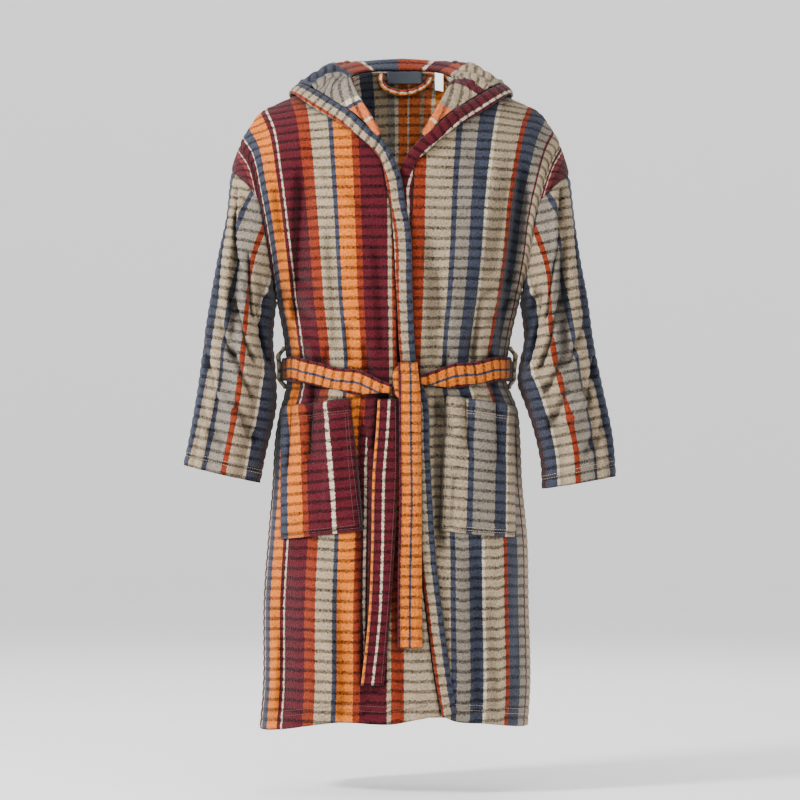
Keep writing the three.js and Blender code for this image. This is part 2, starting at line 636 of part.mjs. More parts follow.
function sleeveHead(side) {
  const half = 4;
  const columns = 2 * half;
  const rows = 3;
  const turnAt = (j) => (Math.PI * (j - half)) / ARMHOLE_ROWS;
  const grid = Array.from({ length: rows + 1 }, (_, i) => Array.from({ length: columns + 1 }, (_, j) => {
    return sleevePoint(side, (headReach(turnAt(j)) * i) / rows, turnAt(j));
  }));
  const normals = gridNormals(grid, side, false);
  normals[0] = normals[0].map((_, j) => armholeNormal(side, turnAt(j), -1));
  normals[rows] = normals[rows].map((_, j) => headSeamNormal(side, turnAt(j)));
  const inner = grid.map((line, i) => line.map((p, j) => p.clone().addScaledVector(normals[i][j], -CLOTH)));
  return solidBetween(grid, inner, false);
}

// Moves a point out so that it clears the outside of the robe by a given gap
function clearOfBody(point, gap) {
  const reach = Math.abs(point.x);
  if (reach >= SHOULDER_X) return point;
  const front = point.y < NECK_Y;
  const top = topLine(point.x / SHOULDER_X, front ? -1 : 1);
  if (point.z > top.z - 1) {
    const low = top.z + gap;
    return point.z < low && front ? v(point.x, point.y, low) : point;
  }
  if (front) {
    const panel = point.x < 0 ? "over" : "under";
    const crown = 2.2 * gap * ease(1 - (top.z - point.z) / 35);
    const skin = onBody(-1, point.x, point.z, panel).y - gap - crown;
    return point.y > skin ? v(point.x, skin, point.z) : point;
  }
  const skin = onBody(1, point.x, point.z, "back").y + gap;
  return point.y < skin ? v(point.x, skin, point.z) : point;
}

// Smooth curve of the hood's right half for one named point of its sections
function hoodCurve(name) {
  const axes = [0, 1, 2].map((axis) => curve(HOOD.map((row) => ({ s: row.s, value: row[name][axis] })), "s", "value"));
  return (s, side) => v(axes[0](s) * side + HOOD_MIDDLE_X, axes[1](s), axes[2](s));
}
const hoodPoints = ["neck", "crest", "fall", "bottom", "outer", "rim"].map(hoodCurve);
const bandUp = hoodCurve("up");
const bandLow = hoodCurve("low");

// The hood's outer face: a spline through the six named points of each section, gathered towards its rim
function hoodPoint(side, s, t) {
  const marks = hoodPoints.map((at) => at(s, side));
  const seam = topLine(marks[0].x / SHOULDER_X, 1);
  if (s < NECK_POINT_S) marks[0] = v(marks[0].x, seam.y, seam.z + HOOD_SEAM);
  const section = new THREE.CatmullRomCurve3(marks, false, "centripetal");
  const point = section.getPoint(t);
  const across = ease((s - 0.18) / 0.1) * ease((0.62 - s) / 0.1);
  const window = across * ease((t - 0.45) / 0.3) * ease((1 - t) / 0.15);
  point.z += GATHER_DEPTH * window * Math.sin((2 * Math.PI * GATHERS * (s - 0.18)) / 0.44);
  return t === 0 && s < NECK_POINT_S ? point : clearOfBody(point, HOOD_GAP);
}

function hood() {
  const half = 17;
  const rows = 15;
  const grid = Array.from({ length: rows + 1 }, (_, i) => Array.from({ length: 2 * half + 1 }, (_, j) => {
    const side = j < half ? -1 : 1;
    return hoodPoint(side, Math.abs(j - half) / half, i / rows);
  }));
  const normals = gridNormals(grid, 1, false);
  const inner = grid.map((line, i) => line.map((p, j) => p.clone().addScaledVector(normals[i][j], CLOTH)));
  return solidBetween(grid, inner, false);
}

// Flat strip with round edges, swept through stations that give its middle, half width and face direction
function strip(stations, thick, sides = 8) {
  return solidThrough(stations.map(({ middle, half, normal }) => Array.from({ length: sides }, (_, k) => {
    const turn = (2 * Math.PI * k) / sides;
    const flat = Math.sign(Math.cos(turn)) * Math.abs(Math.cos(turn)) ** 0.7;
    const tall = Math.sign(Math.sin(turn)) * Math.abs(Math.sin(turn)) ** 0.7;
    return middle.clone().addScaledVector(half, flat).addScaledVector(normal, (tall * thick) / 2);
  })));
}

// Edge band of one front: up the front, over the shoulder beside the neck and round the hood to its middle
function edgeBand(side, table) {
  const free = [];
  const sewn = [];
  const panel = side < 0 ? "over" : null;
  for (const row of table.toReversed()) {
    free.push(offFront(row.fx, row.fz, row.lift, null));
    sewn.push(offFront(row.sx - side * BAND_GAP, row.sz, row.lift, null));
  }
  for (const s of [0.93, 0.8, 0.68, 0.58, 0.5, 0.43, 0.36, 0.28, 0.2, 0.12, 0.06]) {
    free.push(clearOfBody(bandUp(s, side), BAND_THICK / 2 + 2.5));
    sewn.push(clearOfBody(bandLow(s, side), BAND_THICK / 2 + 2.5));
  }
  free.push(bandUp(0, side).add(v(side * SEAM, 0, 0)));
  sewn.push(bandLow(0, side).add(v(side * SEAM, 0, 0)));
  const freeLine = new THREE.CatmullRomCurve3(free, false, "centripetal");
  const sewnLine = new THREE.CatmullRomCurve3(sewn, false, "centripetal");
  const steps = 2 * (free.length - 1);
  const stations = Array.from({ length: steps + 1 }, (_, i) => {
    const one = freeLine.getPoint(i / steps);
    const two = sewnLine.getPoint(i / steps);
    const along = freeLine.getTangent(i / steps);
    const half = one.clone().sub(two).multiplyScalar(0.5);
    const normal = half.clone().cross(along).normalize();
    return { middle: one.add(two).multiplyScalar(0.5), half, normal };
  });
  return strip(stations, BAND_THICK);
}

// Patch pocket: its points are those of the front, moved out, with a little room at its mouth
function pocket(side) {
  const size = side < 0 ? POCKETS.left : POCKETS.right;
  const panel = side < 0 ? "over" : "under";
  const columns = 9;
  const rows = 9;
  const gridAt = (extra) => Array.from({ length: rows + 1 }, (_, i) => Array.from({ length: columns + 1 }, (_, j) => {
    const across = j / columns;
    const down = i / rows;
    const frontX = mix(size.frontTopX, size.frontLowX, down);
    const sideZ = mix(size.sideTop, size.sideLow, down);
    const frontZ = mix(size.frontTop, size.frontLow, down);
    const turn = Math.sin((Math.PI / 2) * across);
    const x = mix(frontX, size.sideX, turn);
    const room = POCKET_MOUTH * Math.sin(Math.PI * across) * (1 - down) ** 1.5;
    return offFront(x, mix(frontZ, sideZ, turn), size.off + room + extra, panel);
  }));
  return solidBetween(gridAt(CLOTH), gridAt(0), false);
}

// Belt round the waist, open at the front where the knot sits
function beltWaist() {
  const stand = (row) => offFront(row.x, row.z, row.off + BELT_THICK / 2, null);
  const points = BELT.map(stand);
  const backSteps = 18;
  const waist = bodyRow(1, BELT_Z);
  const round = (face, angle) => {
    const out = v(Math.sin(angle), face * Math.cos(angle), 0);
    const skin = bodyPoint(face, angle, waist, null);
    return skin.addScaledVector(out, BELT_STAND + BELT_THICK / 2);
  };
  points.push(round(-1, -1.1), round(-1, -1.35));
  for (let k = 0; k <= backSteps; k += 1) {
    points.push(round(1, mix(-Math.PI / 2, Math.PI / 2, k / backSteps)));
  }
  points.push(round(-1, 1.35), round(-1, 1.1));
  points.push(...BELT_RIGHT.toReversed().map(stand));
  const line = new THREE.CatmullRomCurve3(points, false, "centripetal");
  const steps = 60;
  const stations = Array.from({ length: steps + 1 }, (_, i) => {
    const along = line.getTangentAt(i / steps);
    const half = v(0, 0, BELT_WIDE / 2).addScaledVector(along, (-along.z * BELT_WIDE) / 2);
    const normal = half.clone().cross(along).normalize();
    const middle = line.getPointAt(i / steps);
    const nearKnot = Math.min(i, steps - i) / 5;
    return { middle, half: half.multiplyScalar(mix(0.4, 1, ease(nearKnot))), normal };
  });
  return strip(stations, BELT_THICK);
}

// Hanging tail of the belt
function beltTail(table) {
  const columns = ["x", "wide", "off"].map((name) => curve(table, "z", name));
  const steps = 16;
  const top = table[0].z;
  const bottom = table[table.length - 1].z;
  const stations = Array.from({ length: steps + 1 }, (_, i) => {
    const z = mix(top, bottom, i / steps);
    const [x, wide, off] = columns.map((at) => at(z));
    const middle = offFront(x, z, off, null);
    const normal = offFront(x, z, off + 1, null).sub(middle);
    normal.x *= 0.3;
    return { middle, half: v(wide / 2, 0, 0), normal: v(normal.x, normal.y, 0).normalize() };
  });
  return strip(stations, BELT_THICK - 1);
}

// Knot: a soft lump between the two ends of the belt, behind the upper tail
function beltKnot() {
  const rings = 8;
  return solidThrough(Array.from({ length: rings + 1 }, (_, i) => {
    const lean = mix(-0.92, 0.92, i / rings);
    const z = mix(-508, -452, (lean + 1) / 2);
    const middle = offFront(8, z, KNOT_OFF, null);
    const size = (1 - Math.abs(lean) ** 3) ** 0.5;
    return Array.from({ length: 12 }, (_, k) => {
      const turn = (2 * Math.PI * k) / 12;
      return v(middle.x + 19 * size * Math.cos(turn), middle.y + 6.5 * size * Math.sin(turn), middle.z);
    });
  }));
}

// Belt loop at a side seam: sewn at both ends, standing off round the belt
function beltLoop(side) {
  const half = 45;
  const steps = 14;
  const stations = Array.from({ length: steps + 1 }, (_, i) => {
    const along = mix(-1, 1, i / steps);
    const z = -455 + half * along;
    const off = mix(2, BELT_STAND + BELT_THICK + 1.8, ease((1 - Math.abs(along)) / 0.42));
    const x = side * (halfWidth(side, z) + off);
    return { middle: v(x, -6, z), half: v(0, LOOP_WIDE / 2, 0), normal: v(1, 0, 0) };
  });
  stations.forEach((station, i) => {
    const before = stations[Math.max(i - 1, 0)].middle;
    const after = stations[Math.min(i + 1, steps)].middle;
    station.normal = after.clone().sub(before).normalize().cross(v(0, 1, 0));
  });
  return strip(stations, 2.4, 6);
}

// Hanger loop: a round cord of cloth that dips below the back neck seam
function hangerLoop() {
  const rows = [v(-31, 60.6, 50), v(-32, 55, 40), v(-26, 54, 27), v(-8, 54, 19), v(10, 53, 17), v(30, 52, 22)];
  rows.push(v(47, 50, 33), v(54, 51.9, 45));
  const line = new THREE.CatmullRomCurve3(rows, false, "centripetal");
  const steps = 18;
  const stations = Array.from({ length: steps + 1 }, (_, i) => {
    const along = line.getTangentAt(i / steps);
    const normal = v(0, 1, 0).addScaledVector(along, -along.y).normalize();
    return { middle: line.getPointAt(i / steps), half: along.clone().cross(normal).multiplyScalar(5), normal };
  });
  return strip(stations, 6);
}

// Bare label that hangs inside the back neck, a given gap in front of its seam
function label(left, right, long, thick, gap) {
  const grid = (depth) => [0, 0.5, 1].map((down) => Array.from({ length: 5 }, (_, j) => {
    const x = mix(left, right, j / 4);
    const seam = topLine(x / SHOULDER_X, 1);
    return v(x, seam.y - CLOTH - gap - depth, seam.z - LABEL_TOP - down * long);
  }));
  return solidBetween(grid(thick), grid(0), false);
}

const robe = new THREE.Group();
function add(name, geometry, color, roughness = 0.95) {
  const mesh = new THREE.Mesh(geometry, new THREE.MeshStandardMaterial({ color, roughness, metalness: 0 }));
  mesh.name = name;
  robe.add(mesh);
}

const BURGUNDY = 0x64202d;
const ORANGE = 0xe8903f;
const BEIGE = 0xb2a087;
const RUST = 0xa04426;
const SLATE = 0x4b5062;
add("front_over", frontPanel(-1, OVER_EDGE, "over"), BURGUNDY);
add("front_under", frontPanel(1, UNDER_EDGE, "under"), BEIGE);
add("back", backPanel(), RUST);
add("sleeve_left", sleeve(-1), BEIGE);
add("sleeve_right", sleeve(1), BEIGE);
add("sleeve_head_left", sleeveHead(-1), BURGUNDY);
add("sleeve_head_right", sleeveHead(1), BURGUNDY);
add("hood", hood(), SLATE);
add("edge_band_over", edgeBand(-1, OVER_BAND), BEIGE);
add("edge_band_under", edgeBand(1, UNDER_BAND), BURGUNDY);
add("pocket_left", pocket(-1), BURGUNDY);
add("pocket_right", pocket(1), BEIGE);
add("belt_waist", beltWaist(), ORANGE);
add("belt_knot", beltKnot(), ORANGE);
add("belt_tail_upper", beltTail(TAIL_UPPER), ORANGE);
add("belt_tail_lower", beltTail(TAIL_LOWER), BURGUNDY);
add("belt_loop_left", beltLoop(-1), BEIGE);
add("belt_loop_right", beltLoop(1), BEIGE);
add("hanger_loop", hangerLoop(), ORANGE);
add("neck_label", label(-22, 38, 21, 1, NECK_LABEL_GAP), 0x404850, 0.6);
add("care_label", label(60, 74, 30, 0.8, CARE_LABEL_GAP), 0xf2f2ee, 0.5);

export default robe;
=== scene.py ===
import bpy
import numpy as np
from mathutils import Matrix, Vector


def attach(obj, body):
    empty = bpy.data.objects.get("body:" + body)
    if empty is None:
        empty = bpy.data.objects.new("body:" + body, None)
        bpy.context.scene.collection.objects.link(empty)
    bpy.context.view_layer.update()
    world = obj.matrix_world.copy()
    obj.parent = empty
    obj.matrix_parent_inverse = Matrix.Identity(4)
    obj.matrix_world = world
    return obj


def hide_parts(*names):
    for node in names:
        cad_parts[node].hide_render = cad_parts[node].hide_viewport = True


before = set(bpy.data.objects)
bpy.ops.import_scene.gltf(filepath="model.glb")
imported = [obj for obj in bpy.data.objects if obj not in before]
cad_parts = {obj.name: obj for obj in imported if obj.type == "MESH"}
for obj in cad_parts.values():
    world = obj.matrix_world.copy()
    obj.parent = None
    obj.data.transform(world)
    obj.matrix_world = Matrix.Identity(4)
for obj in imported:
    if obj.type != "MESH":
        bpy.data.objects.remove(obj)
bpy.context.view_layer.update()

# Stage: a camera at the photograph's angle, large soft lights round the robe, and pale paper that lies
# below it as a floor and rises far away all round. Camera and lights are placed in metres.
CAMERA_Y, CAMERA_Z, CAMERA_LENS = -6.0, -0.51, 158.8

camera = bpy.data.objects.new("camera", bpy.data.cameras.new("camera"))
camera.location = (0, CAMERA_Y, CAMERA_Z)
camera.rotation_euler = (np.pi / 2, 0, 0)
camera.data.lens = CAMERA_LENS
camera.data.sensor_width = 36
camera.data.clip_end = 60
bpy.context.collection.objects.link(camera)
bpy.context.scene.camera = camera


def area_light(name, place, target, size, watts):
    """A square light at a place, turned to face its target."""
    lamp = bpy.data.objects.new(name, bpy.data.lights.new(name, "AREA"))
    lamp.data.size = size
    lamp.data.energy = watts
    lamp.location = place
    lamp.rotation_euler = (Vector(target) - Vector(place)).to_track_quat("-Z", "Y").to_euler()
    bpy.context.collection.objects.link(lamp)


area_light("key", (-3.2, -1.9, 1.5), (0, 0, -0.5), 0.7, 270)
area_light("fill", (0.4, -4.8, 0.5), (0, 0, -0.3), 0.8, 70)
area_light("top", (0, -0.6, 2.6), (0, 0, -0.3), 2, 30)
area_light("rear", (0.4, 2.4, 1.2), (0, 0, -0.4), 2.2, 40)
world = bpy.data.worlds.new("studio")
world.use_nodes = True
world.node_tree.nodes["Background"].inputs["Color"].default_value = (1, 1, 1, 1)
world.node_tree.nodes["Background"].inputs["Strength"].default_value = 0.35
bpy.context.scene.world = world


def quads(rows, columns, first=0, wrap=False):
    """Corner numbers of the cells of a grid; with wrap the last column joins the first."""
    i, j = np.meshgrid(np.arange(rows - 1), np.arange(columns if wrap else columns - 1), indexing="ij")
    here, after = i * columns + j, i * columns + (j + 1) % columns
    return first + np.stack([here, after, after + columns, here + columns], -1).reshape(-1, 4)


def build(name, points, faces, uvs, material):
    """Mesh object at the origin from points in mm. faces and uvs are lists of matching arrays, a row each
    face. The faces are turned round where the sum of their cones to the origin, which is the volume, is
    negative."""
    cones = [points[block[:, :3]] for block in faces]
    if sum(np.einsum("ij,ij->", cone[:, 0], np.cross(cone[:, 1], cone[:, 2])) for cone in cones) < 0:
        faces = [block[:, ::-1] for block in faces]
        uvs = [block[:, ::-1] for block in uvs]
    corners = np.concatenate([block.ravel() for block in faces])
    sizes = np.concatenate([np.full(len(block), block.shape[1]) for block in faces])
    mesh = bpy.data.meshes.new(name)
    mesh.vertices.add(len(points))
    mesh.vertices.foreach_set("co", (points * 0.001).astype("f4").ravel())
    mesh.loops.add(len(corners))
    mesh.loops.foreach_set("vertex_index", corners.astype("i4"))
    mesh.polygons.add(len(sizes))
    mesh.polygons.foreach_set("loop_start", (np.cumsum(sizes) - sizes).astype("i4"))
    mesh.update(calc_edges=True)
    weave = mesh.uv_layers.new(name="weave")
    weave.data.foreach_set("uv", np.concatenate([block.reshape(-1, 2) for block in uvs]).astype("f4").ravel())
    mesh.polygons.foreach_set("use_smooth", np.ones(len(sizes), dtype=bool))
    mesh.materials.append(material)
    piece = bpy.data.objects.new(name, mesh)
    bpy.context.collection.objects.link(piece)
    return piece


def plain(name, colour, roughness=0.9, glow=0.0):
    """Plain material of one colour; a glow lights the paper behind the robe evenly."""
    material = bpy.data.materials.new(name)
    material.use_nodes = True
    shader = material.node_tree.nodes["Principled BSDF"]
    shader.inputs["Base Color"].default_value = (*colour, 1)
    shader.inputs["Roughness"].default_value = roughness
    shader.inputs["Emission Color"].default_value = (*colour, 1)
    shader.inputs["Emission Strength"].default_value = glow
    return material


# The paper's profile, turned about Z: a flat floor, a quarter round and an upright wall
FLOOR_Z, FLOOR_RADIUS, PAPER_ROUND, PAPER_TOP, PAPER_COLUMNS = -1170.0, 9000, 3000, 9000, 96
bend = np.linspace(0, np.pi / 2, 12)
paper_radius = FLOOR_RADIUS + PAPER_ROUND * np.sin(bend)
paper_radius = np.concatenate([[0.1], paper_radius, paper_radius[-1:]])
paper_z = np.concatenate([[0], PAPER_ROUND - PAPER_ROUND * np.cos(bend), [PAPER_TOP]]) + FLOOR_Z
paper_turn = 2 * np.pi * np.arange(PAPER_COLUMNS) / PAPER_COLUMNS
paper_grid = np.stack(np.broadcast_arrays(
    paper_radius[:, None] * np.cos(paper_turn),
    paper_radius[:, None] * np.sin(paper_turn),
    paper_z[:, None]), -1)
paper_faces = quads(len(paper_z), PAPER_COLUMNS, wrap=True)
floor = build("floor", paper_grid.reshape(-1, 3), [paper_faces], [np.zeros((*paper_faces.shape, 2))],
              plain("paper", (0.92, 0.92, 0.92), glow=0.4))

# Terry: thick cotton cloth of raised loops, woven with upright stripes of many widths, narrow pinstripes
# among them, and straight even ribs across them. A weave map in metres lays the stripes and grooves in the
# material, and the same lengths in millimetres raise the ribs in the mesh.
PITCH, RIB_RISE, RIB_SHARE = 17.0, 1.2, 0.66
FRAY_SCALE, PILE_SCALE, PATCH_SCALE = 330, 260, 28
SRGB = {
    "orange": (216, 114, 36), "burgundy": (84, 27, 36), "rust": (134, 52, 30), "beige": (164, 145, 119),
    "slate": (62, 65, 78), "cream": (206, 190, 164), "wine": (120, 44, 48), "stone": (136, 126, 114),
    "copper": (206, 108, 62),
}
TONES = {name: tuple((np.array(value) / 255) ** 2.2) for name, value in SRGB.items()}


def terry(name, stripes, start, painted_shade_power=1.3):
    """Cloth of upright stripes, each row a width and a colour, from a start across the weave map. The
    colour is multiplied by a shade: darker in the grooves between the ribs (a tone-on-tone weave, partly
    painted shade), a fine mottle for the pile and broad faint patches, all times painted shade from how
    open the spot is, to the power of the last argument."""
    material = bpy.data.materials.new(name)
    material.use_nodes = True
    nodes, links = material.node_tree.nodes, material.node_tree.links
    shader = nodes["Principled BSDF"]

    def math(kind, one, two=0.0, clamp=False):
        node = nodes.new("ShaderNodeMath")
        node.operation = kind
        node.use_clamp = clamp
        for socket, value in zip(node.inputs, (one, two)):
            if hasattr(value, "links"):
                links.new(value, socket)
            else:
                socket.default_value = value
        return node.outputs[0]

    def noise(scale, detail):
        node = nodes.new("ShaderNodeTexNoise")
        node.inputs["Scale"].default_value = scale
        node.inputs["Detail"].default_value = detail
        links.new(weave.outputs[0], node.inputs["Vector"])
        return node.outputs[0]

    weave = nodes.new("ShaderNodeUVMap")
    weave.uv_map = "weave"
    split = nodes.new("ShaderNodeSeparateXYZ")
    links.new(weave.outputs[0], split.inputs[0])
    total = sum(row[0] for row in stripes)
    fray = math("SUBTRACT", noise(FRAY_SCALE, 3), 0.5)
    across = math("DIVIDE", math("SUBTRACT", split.outputs["X"], start * 0.001), total * 0.001)
    across = math("ADD", across, math("MULTIPLY", fray, 5 / total), clamp=True)
    ramp = nodes.new("ShaderNodeValToRGB")
    ramp.color_ramp.interpolation = "CONSTANT"
    links.new(across, ramp.inputs[0])
    place = 0.0
    for k, (width, tone) in enumerate(stripes):
        stops = ramp.color_ramp.elements
        stop = stops[k] if k < 2 else stops.new(place)
        stop.position = place
        stop.color = (*TONES[tone], 1)
        place += width / total
    # Tone-on-tone ribs: the grooves between the ribs are darker and the rib tops lighter, partly a woven tone
    # and partly painted shade in the grooves.
    phase = math("ADD", math("DIVIDE", split.outputs["Y"], PITCH * 0.001), math("MULTIPLY", fray, 0.3))
    away = math("MULTIPLY", math("ABSOLUTE", math("SUBTRACT", math("FRACT", phase), 0.5)), 2.0)
    rib = math("ADD", math("DIVIDE", math("SUBTRACT", RIB_SHARE, away), 0.2), 0.5, clamp=True)
    pile = noise(PILE_SCALE, 5)
    patch = noise(PATCH_SCALE, 2)
    shade = math("ADD", -0.42, math("MULTIPLY", rib, 0.5))
    shade = math("ADD", shade, math("MULTIPLY", pile, 1.5))
    shade = math("ADD", shade, math("MULTIPLY", math("SUBTRACT", patch, 0.5), 0.4))
    # Painted shade: ambient occlusion darkens the colour in folds, hollows and where parts lie close, as the
    # lights' shade would.
    occlusion_shade = nodes.new("ShaderNodeAmbientOcclusion")
    occlusion_shade.samples = 4
    occlusion_shade.inputs["Distance"].default_value = 0.06
    shade = math("MULTIPLY", shade, math("POWER", occlusion_shade.outputs["AO"], painted_shade_power))
    dim = nodes.new("ShaderNodeVectorMath")
    dim.operation = "SCALE"
    links.new(ramp.outputs[0], dim.inputs[0])
    links.new(shade, dim.inputs["Scale"])
    links.new(dim.outputs[0], shader.inputs["Base Color"])
    bump = nodes.new("ShaderNodeBump")
    bump.inputs["Strength"].default_value = 1.0
    bump.inputs["Distance"].default_value = 0.0025
    links.new(pile, bump.inputs["Height"])
    links.new(bump.outputs[0], shader.inputs["Normal"])
    shader.inputs["Roughness"].default_value = 0.95
    shader.inputs["Sheen Weight"].default_value = 0.12
    shader.inputs["Specular IOR Level"].default_value = 0.08
    return material


def ease(a):
    """Smooth step from 0 to 1: three times the square less twice the cube."""
    a = np.clip(a, 0, 1)
    return a * a * (3 - 2 * a)


def mix(a, b, t):
    """Straight blend from a to b by the share t."""
    return a + (b - a) * t


def raised(u, v, stripes, start):
    """Height of the pile in mm: a rounded rise over each rib, and a narrow dip where two stripes meet."""
    ends = start + np.cumsum([row[0] for row in stripes])[:-1]
    away = 2 * np.abs(np.mod(v / PITCH, 1) - 0.5)
    dip = sum(np.exp(-(((u - end) / 2.5) ** 2)) for end in ends)
    return RIB_RISE * np.clip((RIB_SHARE - away) / 0.45 + 0.5, 0, 1) - 0.35 * dip


def creases(u, v, rows):
    """Sum of short creases: a row is a line's two ends, and the depth and width of a bell round that line."""
    total = np.zeros(np.broadcast(u, v).shape)
    for u0, v0, u1, v1, depth, width in rows:
        along = ((u - u0) * (u1 - u0) + (v - v0) * (v1 - v0)) / ((u1 - u0) ** 2 + (v1 - v0) ** 2)
        along = np.clip(along, 0, 1)
        far = (u - mix(u0, u1, along)) ** 2 + (v - mix(v0, v1, along)) ** 2
        total = total + depth * np.exp(-far / width**2)
    return total


# Body of the robe: two fronts and a back of the same terry, cut to hang from the shoulders and drawn in by
# the belt. This section gives its form: sections by height, the shoulder line, the cut edges, and the folds
# and creases that the belt and the arms pull in.
CLOTH = 3.0
SHOULDER_X, SHOULDER_Z, ARMPIT_Z = 272.0, -78.0, -340.0
ARMHOLE_DEPTH, SHOULDER_ROUND = 70.0, 110.0
NECK_LEFT, NECK_RIGHT, NECK_Y = -83.0, 89.0, 6.0
BACK_NECK_DEPTH, BACK_NECK_RISE, BACK_HEM_Z = 60.0, 18.0, -1062.0
# Mean radius of the body for the weave map, half width at the hem, and how far the fronts part where they lap
GIRTH, HEM_HALF, LAP_OVER, LAP_UNDER = 230.0, 225.0, 4.5, 7.0

# Rows: height, half width at the left and right, depth in front and behind
BODY = [
    (-78, 272, 272, 112, 112), (-110, 252, 254, 116, 114), (-172, 237, 235, 120, 116),
    (-223, 227, 224, 121, 116), (-279, 218, 216, 119, 112), (-340, 209, 203, 115, 106),
    (-400, 198, 189, 108, 98), (-455, 191, 180, 101, 92), (-482, 192, 181, 103, 94),
    (-505, 197, 191, 107, 100), (-530, 204, 200, 112, 106), (-578, 212, 204, 118, 116),
    (-650, 216, 207, 124, 122), (-748, 224, 216, 130, 127), (-850, 231, 218, 135, 130),
    (-986, 232, 221, 139, 133), (-1070, 238, 216, 142, 136),
]
SHOULDER = [(0, 37), (83, 37), (130, 22), (177, 7), (204, -5), (238, -22), (258, -49), (268, -66), (272, -78)]
HEM = [
    (-240, -1058), (-226, -1066), (-189, -1062), (-100, -1047), (-17, -1049), (30, -1041), (68, -1036),
    (98, -1046), (150, -1051), (216, -1060),
]
OVER_EDGE = [
    (37, -83), (-1, -68), (-31, -51), (-66, -35), (-114, -28), (-177, -18), (-232, -13), (-344, -7),
    (-460, -3), (-510, 17), (-593, 20), (-710, 27), (-780, 32), (-873, 43), (-966, 55), (-1045, 68),
]
UNDER_EDGE = [
    (37, 89), (-1, 74), (-31, 57), (-66, 43), (-99, 28), (-152, 23), (-202, 20), (-344, 0), (-510, -40),
    (-593, -50), (-1045, -56),
]
# Rows: one end (x, z), other end (x, z), depth (minus is a trough), width
FOLDS = {
    "over": [
        (-165, -120, -176, -400, -7, 15), (-118, -220, -104, -440, -4, 14), (-140, -440, -150, -620, -6, 12),
        (-66, -500, -55, -1010, -7, 13), (-140, -760, -150, -1060, 6, 24), (-192, -780, -200, -1060, -6, 14),
        (0, -560, 20, -1030, 3, 18), (-40, -250, -30, -440, -3, 10), (-85, -120, -92, -300, 3, 22),
        (-110, -490, -118, -700, 4, 12), (-100, -800, -96, -1050, -4, 12), (-176, -490, -186, -640, -4, 9),
        (-12, -700, 6, -1040, -3, 11), (-30, -485, -44, -640, -4, 9), (-88, -380, -84, -450, -4, 7),
        (-150, -410, -148, -460, 4, 7),
    ],
    "under": [
        (205, -110, 165, -430, -12, 12), (178, -110, 112, -450, -7, 13), (48, -230, 56, -455, -5, 12),
        (62, -490, 62, -760, -11, 9), (120, -760, 128, -1050, -6, 15), (175, -740, 178, -1050, 5, 18),
        (88, -250, 84, -430, 3, 12), (140, -300, 130, -450, 4, 10), (90, -780, 88, -1040, 4, 12),
        (196, -500, 192, -760, -4, 10), (44, -800, 40, -1040, -4, 12), (104, -490, 110, -600, -4, 8),
        (155, -490, 160, -620, -5, 8), (150, -820, 156, -1040, -3, 9), (160, -400, 156, -462, 4, 7),
    ],
    "back": [
        (-150, -150, -120, -430, -8, 16), (150, -150, 118, -430, -8, 16), (-40, -330, -30, -460, -5, 13),
        (62, -320, 50, -460, -5, 14), (-95, -490, -128, -1060, -9, 18), (8, -490, -12, -1060, -7, 20),
        (100, -490, 122, -1060, -9, 18), (-160, -500, -182, -1060, 5, 18), (166, -500, 178, -1060, 5, 16),
        (-44, -700, -52, -1060, 4, 18), (58, -640, 66, -1060, 4, 16), (-90, -230, -74, -440, 4, 14),
        (96, -230, 86, -440, 3, 16), (20, -380, 16, -455, 4, 9), (-130, -400, -124, -455, 4, 8),
    ],
}

# Short creases, mostly where the belt pulls and below the arms. Rows: one end (x, z), other end, depth, width
CREASES = {
    "over": [
        (-196, -330, -150, -372, -4, 8), (-190, -360, -160, -410, 3, 8), (-180, -300, -140, -325, -3, 8),
        (-60, -420, -52, -470, -4, 6), (-120, -425, -126, -480, -4, 6), (-165, -430, -170, -500, -4, 6),
        (-20, -500, -40, -590, -4, 7), (-200, -500, -204, -560, -4, 7), (-90, -150, -60, -190, -3, 9),
        (-150, -90, -120, -130, -3, 10), (-205, -160, -196, -230, -4, 9), (-40, -600, -30, -700, 3, 8),
        (-210, -800, -206, -900, -4, 10), (-120, -900, -112, -1030, 3, 12),
    ],
    "under": [
        (192, -330, 150, -375, -5, 8), (186, -300, 140, -330, -4, 8), (120, -420, 126, -474, -4, 6),
        (80, -430, 74, -480, -4, 6), (150, -430, 154, -490, -4, 6), (60, -300, 66, -380, -4, 8),
        (210, -170, 200, -240, -4, 9), (120, -100, 150, -150, -3, 10), (186, -520, 192, -600, -4, 7),
        (60, -520, 84, -560, -4, 7), (130, -900, 140, -1030, 3, 12), (90, -640, 86, -720, -4, 8),
        (200, -820, 196, -960, -4, 10),
    ],
    "back": [
        (-196, -330, -150, -380, -5, 9), (196, -330, 150, -380, -5, 9), (-60, -420, -56, -480, -4, 7),
        (90, -420, 96, -480, -4, 7), (-120, -425, -124, -490, -4, 7), (130, -425, 134, -490, -4, 7),
        (10, -430, 8, -480, -4, 7), (-60, -250, -30, -280, -3, 9), (60, -200, 100, -240, -3, 9),
        (-150, -620, -146, -720, -4, 9), (150, -640, 156, -760, -4, 9), (-20, -560, -26, -640, -4, 8),
        (40, -900, 44, -1030, -4, 10), (-190, -880, -194, -1020, -4, 10),
    ],
}


# How much deeper the cloth gathers than the folds' rows say, and how much narrower a fold is at its left
TROUGH_GAIN, RIDGE_GAIN, CREASE_GAIN = 2.3, 1.4, 2.0
STEEP_SIDE, GENTLE_SIDE = 0.62, 1.35


